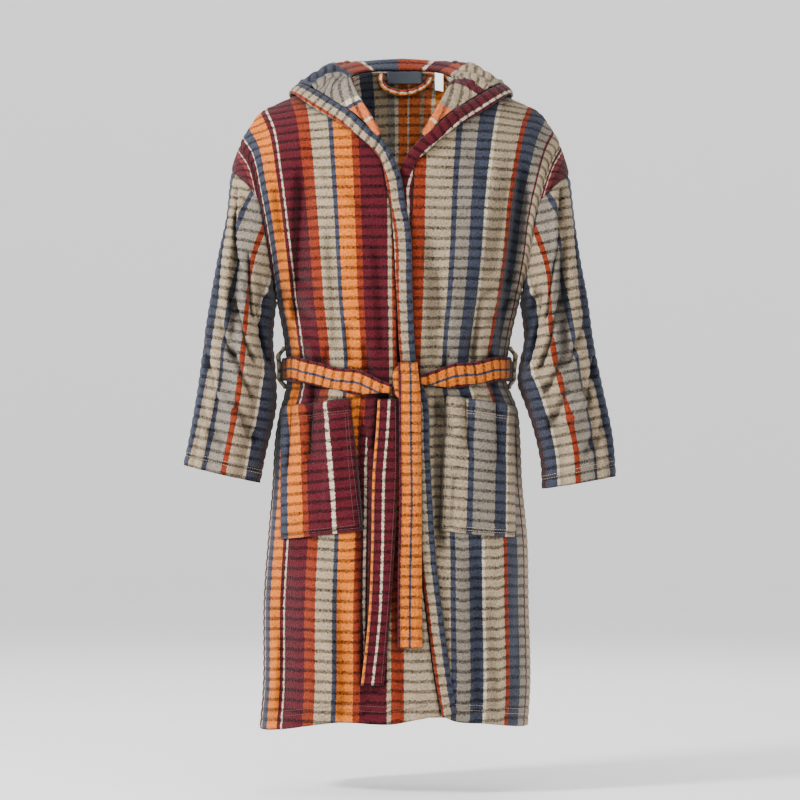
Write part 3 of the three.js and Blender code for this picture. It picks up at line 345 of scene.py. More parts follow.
def curve(table, column):
    """Cubic through one column of a table, with each row's slope that of the line through its neighbours."""
    rows = np.array(sorted(table), float)
    at, value = rows[:, 0], rows[:, column]
    ends = np.arange(len(at))
    before, after = np.maximum(ends - 1, 0), np.minimum(ends + 1, len(at) - 1)
    slope = (value[after] - value[before]) / (at[after] - at[before])

    def read(place):
        p = np.clip(place, at[0], at[-1])
        i = np.clip(np.searchsorted(at, p, side="right") - 1, 0, len(at) - 2)
        gap = at[i + 1] - at[i]
        t = (p - at[i]) / gap
        start = (1 + 2 * t) * (1 - t) ** 2 * value[i] + t * (1 - t) ** 2 * gap * slope[i]
        return start + t * t * (3 - 2 * t) * value[i + 1] - t * t * (1 - t) * gap * slope[i + 1]

    return read


body_left, body_right, body_front, body_back = [curve(BODY, column) for column in (1, 2, 3, 4)]
shoulder_z, hem_z = curve(SHOULDER, 1), curve(HEM, 1)


def half_width(side, z):
    """Half width of the body at a height, on the left where side is negative and on the right elsewhere."""
    return np.where(side < 0, body_left(z), body_right(z))


def top_line(sine, face):
    """Shoulder line; between the ends of the neck the back edge dips back and rises as half an ellipse."""
    x = SHOULDER_X * sine
    inside = 1 - (x / np.where(x < 0, NECK_LEFT, NECK_RIGHT)) ** 2
    dip = np.sqrt(np.clip(inside, 0, 1)) if face > 0 else np.zeros_like(x)
    y = NECK_Y * (1 - np.abs(sine))
    return shoulder_z(np.abs(x)) + BACK_NECK_RISE * dip, y + BACK_NECK_DEPTH * dip, dip


def fold_depth(panel, x, z):
    """Sum of soft troughs and ridges, each eased away past its ends: a bell across its line, steeper on its
    left side than on its right."""
    total = np.zeros_like(x)
    for x0, z0, x1, z1, depth, width in FOLDS[panel]:
        along = (z - z0) / (z1 - z0)
        fade = ease(along / 0.25 + 0.35) * ease((1 - along) / 0.25 + 0.35)
        across = x - mix(x0, x1, along)
        reach = width * np.where(across < 0, STEEP_SIDE, GENTLE_SIDE)
        total = total + depth * fade * np.exp(-((across / reach) ** 2))
    return np.where(total < 0, TROUGH_GAIN, RIDGE_GAIN) * total + CREASE_GAIN * creases(x, z, CREASES[panel])


def body_point(face, angle, share, low, panel):
    """x is the half width times the sine of the angle. y is the depth times a power of the cosine, and
    grows as a quarter ellipse below the shoulder line. share runs from shoulder to armpit, low is the
    height below the armpit. The armhole is an ellipse at the sleeve and softens to a parabola further in."""
    sine, cosine = np.sin(angle), np.clip(np.cos(angle), 0, None)
    top_z, top_y, neck = top_line(sine, face)
    z = mix(top_z, ARMPIT_Z, share) + low
    side_z = mix(SHOULDER_Z, ARMPIT_Z, share) + low
    room = 4 * np.clip(share * (1 - share), 0, 0.25)
    edge_y = ARMHOLE_DEPTH * mix(room, np.sqrt(room), (1 - cosine) ** 3)
    x = half_width(sine, side_z) * sine
    drop = np.clip((top_z - z) / SHOULDER_ROUND, 0, 1)
    arch = mix(np.sqrt(drop * (2 - drop)), drop * (2 - drop), neck)
    power = mix(0.85, 2, ease((side_z + 350) / 130))
    depth = body_front(z) if face < 0 else body_back(z)
    below = ease((top_z - z) / 70)
    out = edge_y + (depth - edge_y) * cosine**power * arch
    if panel == "over":
        out = out + LAP_OVER * ease((x + 160) / 60) * below
    if panel == "under":
        out = out - LAP_UNDER * ease((10 - x) / 30) * below
    if panel:
        out = out + fold_depth(panel, x, z) * ease((top_z - z) / 60) * ease(cosine / 0.3)
    return np.stack([x, face * out + top_y * (1 - arch), z], -1)


def on_body(face, x, z, panel):
    """Point of the body at a given x and z, found by closing in on its angle."""
    x, z = np.broadcast_arrays(np.asarray(x, float), np.asarray(z, float))
    side_z, share, low = z, np.zeros_like(z), np.zeros_like(z)
    for _ in range(12):
        sine = np.clip(x / half_width(x, side_z), -0.999, 0.999)
        top_z = top_line(sine, face)[0]
        share = np.clip((top_z - z) / (top_z - ARMPIT_Z), 0, 1)
        low = np.minimum(z - ARMPIT_Z, 0)
        side_z = mix(SHOULDER_Z, ARMPIT_Z, share) + low
    return body_point(face, np.arcsin(sine), share, low, panel)


def unit(field):
    """Directions scaled to length 1."""
    return field / np.linalg.norm(field, axis=-1, keepdims=True)


def off_front(x, z, off, panel):
    """Point that stands off the front by a given amount, square to its face."""
    across = on_body(-1, x + 4, z, panel) - on_body(-1, x - 4, z, panel)
    down = on_body(-1, x, z - 4, panel) - on_body(-1, x, z + 4, panel)
    return on_body(-1, x, z, panel) + unit(np.cross(down, across)) * np.asarray(off)[..., None]


def grid_normals(grid):
    """Direction square to a grid of points, from the steps across and down it."""
    normal = np.cross(np.gradient(grid, axis=1), np.gradient(grid, axis=0))
    return normal / np.maximum(np.linalg.norm(normal, axis=-1, keepdims=True), 1e-9)


def shell(name, outer, inner, uv, material):
    """Closed wall between two grids: both faces and the four strips that join their edges."""
    rows, columns = outer.shape[:2]
    count = rows * columns
    grid_uv = uv.reshape(-1, 2)
    face = quads(rows, columns)
    number = np.arange(count).reshape(rows, columns)
    rim = np.concatenate([number[0], number[1:, -1], number[-1, -2::-1], number[-2::-1, 0]])
    strip = np.stack([rim[1:], rim[:-1], rim[:-1] + count, rim[1:] + count], -1)
    faces = [np.concatenate([face, face[:, ::-1] + count, strip])]
    uvs = [np.concatenate([grid_uv[face], grid_uv[face[:, ::-1]], grid_uv[strip % count]])]
    return build(name, np.concatenate([outer.reshape(-1, 3), inner.reshape(-1, 3)]), faces, uvs, material)


def lengths(grid, axis=0):
    """Distance along one line of points, or along a grid's lines from its first row or column."""
    step = np.linalg.norm(np.diff(grid, axis=axis), axis=-1)
    pad = [(1, 0) if k == axis else (0, 0) for k in range(step.ndim)]
    return np.cumsum(np.pad(step, pad), axis=axis)


def edge_roll(grid, edges, depth=1.6, reach=4.0):
    """How far the cloth dips towards a seam, as a bell of the distance from each named edge of its grid."""
    across, down = lengths(grid, 1), lengths(grid, 0)
    far = {"first": across, "last": across[:, -1:] - across, "top": down, "bottom": down[-1:] - down}
    return sum(depth * np.exp(-((far[edge] / reach) ** 2)) for edge in edges)


def settle(piece, node):
    """Ties a cloth piece to the root body and hides its solid."""
    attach(piece, "root")
    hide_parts(node)


# Stitching: sewing thread shows as short dashes of one even length on hems, cuffs, pockets and belt tails.
# Each is a low ridge that lies on the cloth.
thread_pale = plain("thread_pale", (0.5, 0.4, 0.3))
thread_dark = plain("thread_dark", (0.16, 0.08, 0.07))


def sample(line, run, place):
    """A line's points, or the directions at them, at given distances along it, by straight blends."""
    return np.stack([np.interp(place, run, line[:, k]) for k in range(3)], -1)


def stitches(name, paths, material, step=4.4, long=3.0, thick=0.7):
    """Dashes every step along paths, each path being points and the outward direction at them. A dash has a
    flat base, two sloping long sides and a slanting triangle at each end."""
    points, faces = [], []
    for line, normal in paths:
        run = lengths(line)
        at = np.arange(step, run[-1] - step, step)
        middle, up = sample(line, run, at), sample(normal, run, at)
        along = unit(sample(line, run, at + 1) - sample(line, run, at - 1))
        side = np.cross(up, along)
        ring = [(-1, -0.5, 0), (-1, 0.5, 0), (-0.6, 0, 1), (0.6, 0, 1), (1, -0.5, 0), (1, 0.5, 0)]
        dash = [middle + along * a * long / 2 + side * b * thick + up * c * thick for a, b, c in ring]
        base = 6 * np.arange(len(at))[:, None] + sum(len(block) for block in points)
        points.append(np.stack(dash, 1).reshape(-1, 3))
        faces.append(base + np.array([0, 1, 5, 4]))
        faces.append(base + np.array([0, 4, 3, 2]))
        faces.append(base + np.array([1, 2, 3, 5]))
    joined = np.concatenate(points)
    ends = np.concatenate([block[:, :1] // 6 * 6 for block in faces[::3]])
    blocks = [np.concatenate(faces), np.concatenate([ends + np.array([0, 2, 1]), ends + np.array([4, 5, 3])])]
    piece = build(name, joined, blocks, [np.zeros((*block.shape, 2)) for block in blocks], material)
    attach(piece, "root")
    return piece


def edge_rows(outer, normals, rows, inset=0):
    """Paths along the lower edge of a piece, each a number of rows up and 0.2 mm off its outer face."""
    span = slice(inset, outer.shape[1] - inset)
    return [(outer[-1 - up, span] + normals[-1 - up, span] * 0.2, normals[-1 - up, span]) for up in rows]


# Fronts and back: three panels of terry cut to the same section and sewn at the sides and shoulders. The
# front at the viewer's left lies on top of the other. Each hem is held by two rows of stitches.
UP_ROWS, LOW_ROWS = 110, 168
OVER_START, UNDER_START, BACK_START = -365, -75, -362
OVER_COLUMNS = [
    (44, "burgundy"), (6, "cream"), (30, "slate"), (40, "orange"), (12, "burgundy"), (5, "cream"),
    (52, "burgundy"), (24, "rust"), (34, "beige"), (8, "slate"), (30, "orange"), (12, "rust"),
    (46, "burgundy"), (6, "beige"), (22, "rust"), (60, "beige"),
]
UNDER_COLUMNS = [
    (82, "burgundy"), (6, "beige"), (30, "rust"), (48, "beige"), (10, "slate"), (26, "stone"), (30, "slate"),
    (6, "cream"), (50, "beige"), (12, "rust"), (36, "slate"), (30, "stone"), (8, "burgundy"), (60, "beige"),
]
BACK_COLUMNS = [
    (60, "burgundy"), (8, "cream"), (40, "slate"), (54, "rust"), (12, "orange"), (46, "beige"), (10, "slate"),
    (60, "rust"), (8, "cream"), (22, "slate"), (20, "beige"), (12, "stone"), (6, "cream"), (14, "copper"),
    (5, "cream"), (16, "copper"), (5, "beige"), (14, "copper"), (5, "cream"), (15, "orange"), (8, "cream"),
    (60, "burgundy"), (30, "rust"), (46, "beige"), (10, "slate"), (50, "rust"), (40, "slate"), (8, "cream"),
    (70, "burgundy"),
]
shares = (1 - np.cos(np.pi * np.arange(UP_ROWS + 1) / UP_ROWS)) / 2
lows = np.arange(1, LOW_ROWS + 1) / LOW_ROWS
row_share = np.concatenate([shares, np.ones(LOW_ROWS)])[:, None]
row_low = np.concatenate([np.zeros(UP_ROWS + 1), lows])[:, None]


def panel_piece(name, grid, base, sign, angle, columns, start, edges, material):
    """Panel's wall: ribs raise its outer face and its sewn edges dip. The weave map follows its angle round
    the body and its length down from the armpit, most of it measured on the base without folds."""
    normals = grid_normals(grid) * sign
    down = mix(lengths(base, 0), lengths(grid, 0), 0.35)
    u = GIRTH * angle
    v = down - down[UP_ROWS] - ARMPIT_Z
    outer = grid + normals * (raised(u, v, columns, start) - edge_roll(grid, edges))[..., None]
    inner = grid - normals * CLOTH
    return shell(name, outer, inner, np.stack([u, v], -1) * 0.001, material), outer, normals


def front_grid(side, table, panel, count):
    """Points of a front, with and without folds, from its side seam to its cut edge, which is found by
    closing in on the edge's table. Its angle runs evenly between the two."""
    edge = curve(table, 1)
    end = np.full_like(row_share, np.arcsin((NECK_LEFT if side < 0 else NECK_RIGHT) / SHOULDER_X))
    for _ in range(8):
        low = row_low * (hem_z(np.sin(end) * HEM_HALF) - ARMPIT_Z)
        x = edge(body_point(-1, end, row_share, low, None)[..., 2])
        close = np.arcsin(x / half_width(x, mix(SHOULDER_Z, ARMPIT_Z, row_share) + low))
        end[1:] = close[1:]
    angle = mix(side * np.pi / 2, end, np.arange(count + 1) / count)
    low = row_low * (hem_z(np.sin(angle) * HEM_HALF) - ARMPIT_Z)
    base = body_point(-1, angle, row_share, low, None)
    return body_point(-1, angle, row_share, low, panel), base, angle


over_grid, over_base, over_angle = front_grid(-1, OVER_EDGE, "over", 62)
cloth_over = terry("terry_over", OVER_COLUMNS, OVER_START)
front_over, over_outer, over_normals = panel_piece(
    "front_over_cloth", over_grid, over_base, -1, over_angle, OVER_COLUMNS, OVER_START, ("first", "top"),
    cloth_over)
under_grid, under_base, under_angle = front_grid(1, UNDER_EDGE, "under", 62)
cloth_under = terry("terry_under", UNDER_COLUMNS, UNDER_START)
front_under, under_outer, under_normals = panel_piece(
    "front_under_cloth", under_grid, under_base, 1, under_angle, UNDER_COLUMNS, UNDER_START, ("first", "top"),
    cloth_under)

# The back's columns stand closer at the ends of its neckline, where the edge is steep
sweep = np.sin(np.linspace(-np.pi / 2, np.pi / 2, 41))
neck_part = np.arcsin(sweep * np.where(sweep < 0, -NECK_LEFT, NECK_RIGHT) / SHOULDER_X)
back_angle = np.concatenate([
    np.linspace(-np.pi / 2, neck_part[0], 34)[:-1], neck_part, np.linspace(neck_part[-1], np.pi / 2, 34)[1:]])
back_angle = np.broadcast_to(back_angle, (len(row_share), len(back_angle)))
back_low = row_low * (BACK_HEM_Z - ARMPIT_Z)
back_grid = body_point(1, back_angle, row_share, back_low, "back")
back_base = body_point(1, back_angle, row_share, back_low, None)
# The back takes a weaker painted shade from ambient occlusion, so its inside stays light through the neck.
cloth_back = terry("terry_back", BACK_COLUMNS, BACK_START, painted_shade_power=0.5)
back, back_outer, back_normals = panel_piece(
    "back_cloth", back_grid, back_base, 1, back_angle, BACK_COLUMNS, BACK_START, ("first", "last", "top"),
    cloth_back)
hem_threads = [
    stitches("hem_stitch_" + name, edge_rows(outer, normals, (5, 7), inset=2), thread)
    for name, outer, normals, thread, slot in [
        ("over", over_outer, over_normals, thread_dark, "terry_warm"),
        ("under", under_outer, under_normals, thread_pale, "terry_cool"),
        ("back", back_outer, back_normals, thread_pale, "terry_rust"),
    ]
]
settle(front_over, "front_over")
settle(front_under, "front_under")
settle(back, "back")

# Sleeves: each a tube of terry with one seam under the arm, sewn into the armhole, hanging to the forearm and
# turned in at the cuff under two rows of stitches. A crescent head cut on the cross is set in at its top.
SLEEVE_ROWS, SLEEVE_COLUMNS, SLEEVE_LENGTH = 144, 120, 450
# Rows: eighths of the length, outer corner (x, z), inner corner (x, z), half depth, middle in Y
SLEEVE = {
    -1: [
        (0, -272, -78, -209, -340, 70, 0), (1, -286, -122, -214, -374, 76, 0),
        (2, -294, -196, -216, -413, 77, -3), (3, -308, -264, -213, -445, 75, -7),
        (4, -321, -337, -210, -481, 71, -12), (5, -332, -408, -210, -520, 66, -17),
        (6, -340, -476, -217, -558, 60, -21),
        (7, -354, -561, -228, -603, 55, -25), (8, -366, -620, -237, -650, 52, -28),
    ],
    1: [
        (0, 272, -78, 203, -340, 70, 0), (1, 287, -128, 209, -377, 76, 0), (2, 295, -196, 211, -413, 77, -3),
        (3, 305, -267, 204, -445, 75, -7), (4, 318, -340, 200, -481, 71, -12),
        (5, 327, -408, 211, -514, 66, -17), (6, 340, -476, 226, -558, 60, -21),
        (7, 359, -568, 238, -612, 55, -25), (8, 365, -639, 241, -660, 52, -28),
    ],
}
# Rows: angle at the start and the end of the fold, share of the length there, depth, width as an angle
SLEEVE_FOLDS = {
    -1: [
        (0.9, 1.35, 0.15, 0.62, -9, 0.18), (1.5, 1.75, 0.3, 1, 6, 0.26), (0.35, 0.55, 0.35, 1, -6, 0.17),
        (2.2, 2.3, 0.1, 0.5, -9, 0.3), (-1, -1.4, 0.15, 0.7, -8, 0.22), (-2.1, -2, 0.2, 0.9, -5, 0.3),
        (1.05, 1.15, 0.55, 1, -5, 0.14), (0.7, 0.85, 0.1, 0.5, 4, 0.16), (2.2, 2.1, 0.5, 1, -5, 0.2),
        (-0.6, -0.5, 0.4, 1, -5, 0.2), (-1.5, -1.6, 0.5, 1, 4, 0.2),
    ],
    1: [
        (0.9, 1.45, 0.15, 0.7, -10, 0.18), (1.5, 1.7, 0.3, 1, 6, 0.24), (0.3, 0.5, 0.3, 1, -6, 0.17),
        (2.2, 2.3, 0.1, 0.5, -9, 0.3), (-1, -1.4, 0.15, 0.7, -8, 0.22), (-2.1, -2, 0.2, 0.9, -5, 0.3),
        (0.95, 1.05, 0.6, 1, -5, 0.14), (0.6, 0.8, 0.1, 0.6, 4, 0.16), (2.1, 2.15, 0.5, 1, -6, 0.2),
        (-0.5, -0.6, 0.4, 1, -5, 0.2), (-1.6, -1.5, 0.5, 1, 4, 0.2),
    ],
}
# How much deeper the sleeves gather than their rows say
SLEEVE_TROUGH_GAIN, SLEEVE_RIDGE_GAIN, SLEEVE_CREASE_GAIN = 1.8, 1.3, 2.2

# How far down and how far round the crescent head reaches, and how the weave map leans with the sleeve
HEAD_SHARE, HEAD_END, HEAD_CUT = 0.125, 1.31, 1.2566
SLEEVE_GIRTH, SLEEVE_LEAN, SLEEVE_START = 98.0, (0.2, 0.98), -308
SLEEVE_CLOTH_COLUMNS = [
    (54, "beige"), (12, "slate"), (40, "stone"), (30, "slate"), (6, "cream"), (60, "burgundy"), (30, "slate"),
    (8, "cream"), (54, "beige"), (10, "rust"), (44, "slate"), (58, "beige"), (10, "slate"), (44, "stone"),
    (14, "rust"), (50, "beige"), (8, "cream"), (40, "slate"), (60, "burgundy"),
]
HEAD_COLUMNS = [(60, "burgundy"), (6, "cream"), (26, "wine"), (60, "burgundy")]
# Short creases: distance round the sleeve from its top and distance down it, twice, then depth and width
SLEEVE_CREASES = {
    -1: [
        (60, 70, 130, 130, -5, 9), (90, 60, 150, 160, 4, 9), (20, 120, 60, 240, -5, 9),
        (110, 190, 190, 230, -5, 8), (60, 230, 130, 262, -4, 8), (130, 260, 200, 300, -5, 8),
        (10, 290, 90, 330, -4, 9), (100, 330, 170, 352, 4, 8), (60, 370, 140, 398, -4, 8),
        (160, 340, 230, 372, -5, 8), (-60, 100, -120, 190, -5, 10),
        (-100, 240, -180, 290, -5, 9), (-40, 300, -120, 340, -4, 9), (-180, 140, -230, 210, -5, 10),
        (200, 120, 250, 190, -6, 9), (150, 90, 180, 150, -5, 8),
    ],
    1: [
        (70, 60, 140, 110, -6, 9), (100, 40, 160, 150, 4, 9), (30, 140, 70, 230, -5, 9),
        (120, 180, 200, 240, -6, 8), (50, 250, 120, 275, -4, 8), (140, 270, 210, 290, -5, 8),
        (20, 310, 100, 345, -5, 9), (110, 345, 180, 360, 4, 8), (50, 380, 130, 400, -4, 8),
        (150, 320, 220, 345, -5, 8), (-60, 110, -110, 200, -5, 10),
        (-110, 230, -190, 280, -5, 9), (-30, 310, -110, 350, -4, 9), (-180, 150, -230, 220, -5, 10),
        (200, 100, 240, 200, -6, 9), (140, 110, 170, 160, -5, 8),
    ],
}


def sleeve_point(side, t, turn):
    """Ellipse through the outer and inner corner at share t of the length. turn is 0 on top and grows over
    the front. Folds scale the ellipse, at the armhole it follows the body's side, and there it stands off
    by a hair so that the two pieces don't cross."""
    table = [(row[0] / 8, *row[1:]) for row in SLEEVE[side]]
    ox, oz, ix, iz, depth, y = [curve(table, column)(t) for column in range(1, 7)]
    fold = 0
    for a0, a1, t0, t1, deep, width in SLEEVE_FOLDS[side]:
        along = (t - t0) / (t1 - t0)
        fade = ease(along / 0.3) * (1 if t1 == 1 else ease((1 - along) / 0.3))
        across = turn - mix(a0, a1, along)
        bell = np.exp(-((across / (width * np.where(across < 0, 0.7, 1.2))) ** 2))
        fold = fold + (SLEEVE_TROUGH_GAIN if deep < 0 else SLEEVE_RIDGE_GAIN) * deep * fade * bell
    grow = 1 + fold * ease((t - 0.02) / 0.12) / 70
    lean = np.cos(turn) * grow
    x = (ox + ix) / 2 + (ox - ix) / 2 * lean
    z = (oz + iz) / 2 + (oz - iz) / 2 * lean
    first = SLEEVE[side][0]
    level = (1 + np.cos(turn)) / 2
    side_x = side * half_width(side * np.ones_like(level), mix(first[4], first[2], level))
    x = x + (side_x - mix(first[3], first[1], level)) * ease(1 - t / 0.25)
    up = unit(np.array([first[1] - first[3], first[2] - first[4]], float))
    gap = 0.3 * ease(1 - t / 0.1)
    return np.stack([x + up[1] * side * gap, y - depth * np.sin(turn) * grow, z - up[0] * side * gap], -1)


def head_reach(turn):
    """How far down the sleeve the crescent head reaches: a parabola over the top of the armhole."""
    return HEAD_SHARE * (1 - np.clip(np.abs(turn) / HEAD_END, 0, 1) ** 2)


def sleeve_piece(side, name):
    """Tube of cloth with its seam under the arm, and its cuff's stitches. The weave map is the turn times a
    mean radius, and the distance down along the sleeve's lean."""
    turn = np.linspace(-np.pi, np.pi, SLEEVE_COLUMNS + 1)[None]
    reach = head_reach(turn)
    t = mix(reach + 0.002 * (reach > 0), 1, np.linspace(0, 1, SLEEVE_ROWS + 1)[:, None])
    turn = np.broadcast_to(turn, t.shape)
    grid = sleeve_point(side, t, turn)
    normals = grid_normals(grid) * side
    u, v = SLEEVE_GIRTH * turn, side * SLEEVE_LEAN[0] * grid[..., 0] - SLEEVE_LEAN[1] * grid[..., 2]
    bends = SLEEVE_CREASE_GAIN * creases(u, SLEEVE_LENGTH * t, SLEEVE_CREASES[side]) * ease((t - 0.03) / 0.1)
    grid = grid + normals * bends[..., None]
    normals = grid_normals(grid) * side
    rise = raised(u, v, SLEEVE_CLOTH_COLUMNS, SLEEVE_START) - edge_roll(grid, ("top",), 2.2)
    cloth = terry("terry_" + name, SLEEVE_CLOTH_COLUMNS, SLEEVE_START)
    outer = grid + normals * rise[..., None]
    piece = shell(name + "_cloth", outer, grid - normals * CLOTH, np.stack([u, v], -1) * 0.001, cloth)
    threads = stitches(name + "_stitch", edge_rows(outer, normals, (6, 8)), thread_pale)
    settle(piece, name)


def head_piece(side, name):
    """Crescent between the armhole and the sleeve's top, cut on the cross, so its stripes run along it."""
    turn = np.linspace(-HEAD_CUT, HEAD_CUT, 61)[None]
    t = head_reach(turn) * np.linspace(0, 1, 22)[:, None]
    turn = np.broadcast_to(turn, t.shape)
    grid = sleeve_point(side, t, turn)
    normals = grid_normals(grid) * side
    u, v = 1000 * t + 40, 115 * turn + 500 * t
    rise = raised(u, v, HEAD_COLUMNS, 0) - edge_roll(grid, ("top", "bottom"), 1.4)
    outer = grid + normals * rise[..., None]
    cloth = terry("terry_" + name, HEAD_COLUMNS, 0)
    piece = shell(name + "_cloth", outer, grid - normals * CLOTH, np.stack([u, v], -1) * 0.001, cloth)
    settle(piece, name)


sleeve_piece(-1, "sleeve_left")
sleeve_piece(1, "sleeve_right")
head_piece(-1, "sleeve_head_left")
head_piece(1, "sleeve_head_right")

# Hood: two mirrored halves of terry, sewn to the neckline and to each other. Thrown back, it rises from the
# neck, falls behind in a pouch and comes up again to its rim, gathered beside the neck.
# Rows of its right half: s from the back middle to the start of the neckline, then x, y, z of eight points:
# six of the cloth from its seam over the pouch to its rim, and the free and the sewn edge of its band.
HOOD = [
    (0, (0, 66, 55.3), (0, 90, 75), (0, 126, -30), (0, 152, -205), (0, 190, -90), (0, 153, 40),
     (0, 161, 44), (0, 182, 18)),
    (0.2, (51, 55, 52.3), (80, 78, 69), (112, 114, -10), (110, 143, -150), (132, 172, -65), (112, 138, 34),
     (117, 146, 38), (136, 162, 14)),
    (0.38, (78, 32, 44.5), (112, 40, 60), (143, 62, 36), (165, 90, -5), (174, 86, 12), (166, 54, 27),
     (174.5, 58, 24), (186, 60, 6)),
    (0.52, (86, 6, 38), (108, -2, 50), (125, -8, 46), (137, -14, 40), (148, -20, 34), (160, -28, 26),
     (163.5, -29, 23), (182, -36, 6)),
    (0.7, (70, -50, -1), (78, -60, 4), (86, -66, 2), (93, -72, -1), (100, -76, -5), (107, -80, -9),
     (110, -81, -11), (128, -84, -32)),
    (0.86, (52, -88, -31), (55, -92, -30), (58, -94, -31), (61, -96, -33), (64, -98, -35), (67, -100, -37),
     (70, -101, -39), (83, -102, -60)),
    (1, (33, -112, -64), (34, -112, -65), (35, -112, -66), (36, -112, -67), (37, -112, -68), (38, -112, -69),
     (41, -112, -73), (51, -112, -88)),
]
HOOD_START = -300
HOOD_CLOTH_COLUMNS = [
    (26, "copper"), (5, "cream"), (31, "copper"), (8, "slate"), (8, "cream"), (50, "stone"), (40, "slate"),
    (10, "rust"), (60, "rust"), (6, "cream"), (50, "slate"), (44, "rust"), (8, "cream"), (40, "burgundy"),
    (44, "rust"), (50, "beige"), (10, "burgundy"), (40, "beige"), (8, "stone"), (30, "copper"), (6, "cream"),
    (26, "copper"),
]
GATHERS, GATHER_RISE = 7, 8


def clear_of_body(points, gap):
    """Moves points out so that they clear the outside of the robe by a gap: up where they lie above the
    shoulder line in front, and forward or back elsewhere."""
    x, y, z = points[..., 0], points[..., 1], points[..., 2]
    sine = np.clip(x / SHOULDER_X, -1, 1)
    front_top, back_top = top_line(sine, -1)[0], top_line(sine, 1)[0]
    front = y < NECK_Y
    above = z > np.where(front, front_top, back_top) - 1
    lifted = np.where(above & front, np.maximum(z, front_top + gap), z)
    crown = 2.2 * gap * ease(1 - (front_top - z) / 35)
    safe = np.clip(x, -SHOULDER_X, SHOULDER_X)
    over_y, under_y = on_body(-1, safe, z, "over")[..., 1], on_body(-1, safe, z, "under")[..., 1]
    front_y = np.minimum(y, np.where(x < 0, over_y, under_y) - gap - crown)
    back_y = np.maximum(y, on_body(1, safe, z, "back")[..., 1] + gap)
    moved = np.where(above, y, np.where(front, front_y, back_y))
    return np.stack([x, moved, lifted], -1)


def hood_mark(number, s, side):
    """One of the eight points of the hood's rows at every s, on a side, each coordinate a cubic in s."""
    rows = [(row[0], *row[number]) for row in HOOD]
    x, y, z = [curve(rows, column)(s) for column in (1, 2, 3)]
    return np.stack([x * side + 2, y, z], -1)


def spline(marks, t):
    """Centripetal spline through marks: each span's slopes come from its neighbours, weighed by the square
    root of the distances. Past the ends the first and last span are carried on."""
    marks = np.concatenate([2 * marks[:1] - marks[1:2], marks, 2 * marks[-1:] - marks[-2:-1]])
    place = np.asarray(t) * (len(marks) - 3)
    i = np.clip(np.floor(place).astype(int), 0, len(marks) - 4)
    shape = (-1,) + (1,) * (marks.ndim - 1)
    w = (place - i).reshape(shape)
    a, b, c, d = marks[i], marks[i + 1], marks[i + 2], marks[i + 3]

    def gap(p, q):
        return np.maximum(np.sum((p - q) ** 2, -1, keepdims=True) ** 0.25, 1e-4)

    ab, bc, cd = gap(a, b), gap(b, c), gap(c, d)
    start = ((b - a) / ab - (c - a) / (ab + bc) + (c - b) / bc) * bc
    end = ((c - b) / bc - (d - b) / (bc + cd) + (d - c) / cd) * bc
    return b + w * start + w**2 * (3 * (c - b) - 2 * start - end) + w**3 * (2 * (b - c) + start + end)


hood_s = np.linspace(-1, 1, 141)
hood_side = np.where(hood_s < 0, -1.0, 1.0)
hood_reach = np.abs(hood_s)
marks = np.stack([hood_mark(number, hood_reach, hood_side) for number in range(1, 7)])
seam_z, seam_y, _ = top_line(marks[0, :, 0] / SHOULDER_X, 1)
marks[5] = mix(marks[5], hood_mark(7, hood_reach, hood_side), 0.8)
at_back = hood_reach < 0.53
marks[0, :, 1] = np.where(at_back, seam_y, marks[0, :, 1])
marks[0, :, 2] = np.where(at_back, seam_z + 0.8, marks[0, :, 2])
hood_t = np.linspace(0, 1, 90)
hood_grid = spline(marks, hood_t)
near = (ease((hood_reach - 0.18) / 0.1) * ease((0.62 - hood_reach) / 0.1))[None]
window = near * (ease((hood_t - 0.1) / 0.2) * ease((1 - hood_t) / 0.15))[:, None]
gather = np.sin(2 * np.pi * GATHERS * (hood_reach - 0.18) / 0.44)[None]
hood_grid[..., 2] += GATHER_RISE * window * gather
seam_row = hood_grid[0].copy()
hood_grid = clear_of_body(hood_grid, 3.2)
hood_grid[0] = np.where(at_back[:, None], seam_row, hood_grid[0])
hood_normals = grid_normals(hood_grid)
hood_u = np.broadcast_to(300 * hood_s[None], hood_grid.shape[:2])
hood_v = lengths(hood_grid, 0)
hood_rise = CLOTH + raised(hood_u, hood_v, HOOD_CLOTH_COLUMNS, HOOD_START)
hood_rise = hood_rise - edge_roll(hood_grid, ("top",), 1.0)
hood_outer = hood_grid + hood_normals * hood_rise[..., None]
hood = shell("hood_cloth", hood_outer, hood_grid, np.stack([hood_u, hood_v], -1) * 0.001,
             terry("terry_hood", HOOD_CLOTH_COLUMNS, HOOD_START))
settle(hood, "hood")

# Edge bands: a strip of terry folded double and sewn along each front's edge, past the neck and round the
# hood's rim to its middle, where the two meet. It is plump and narrow.
BAND_THICK = 8
OVER_BAND_COLUMNS = [(10, "slate"), (12, "beige"), (5, "rust"), (60, "beige")]
UNDER_BAND_COLUMNS = [(20, "burgundy"), (4, "cream"), (60, "burgundy")]
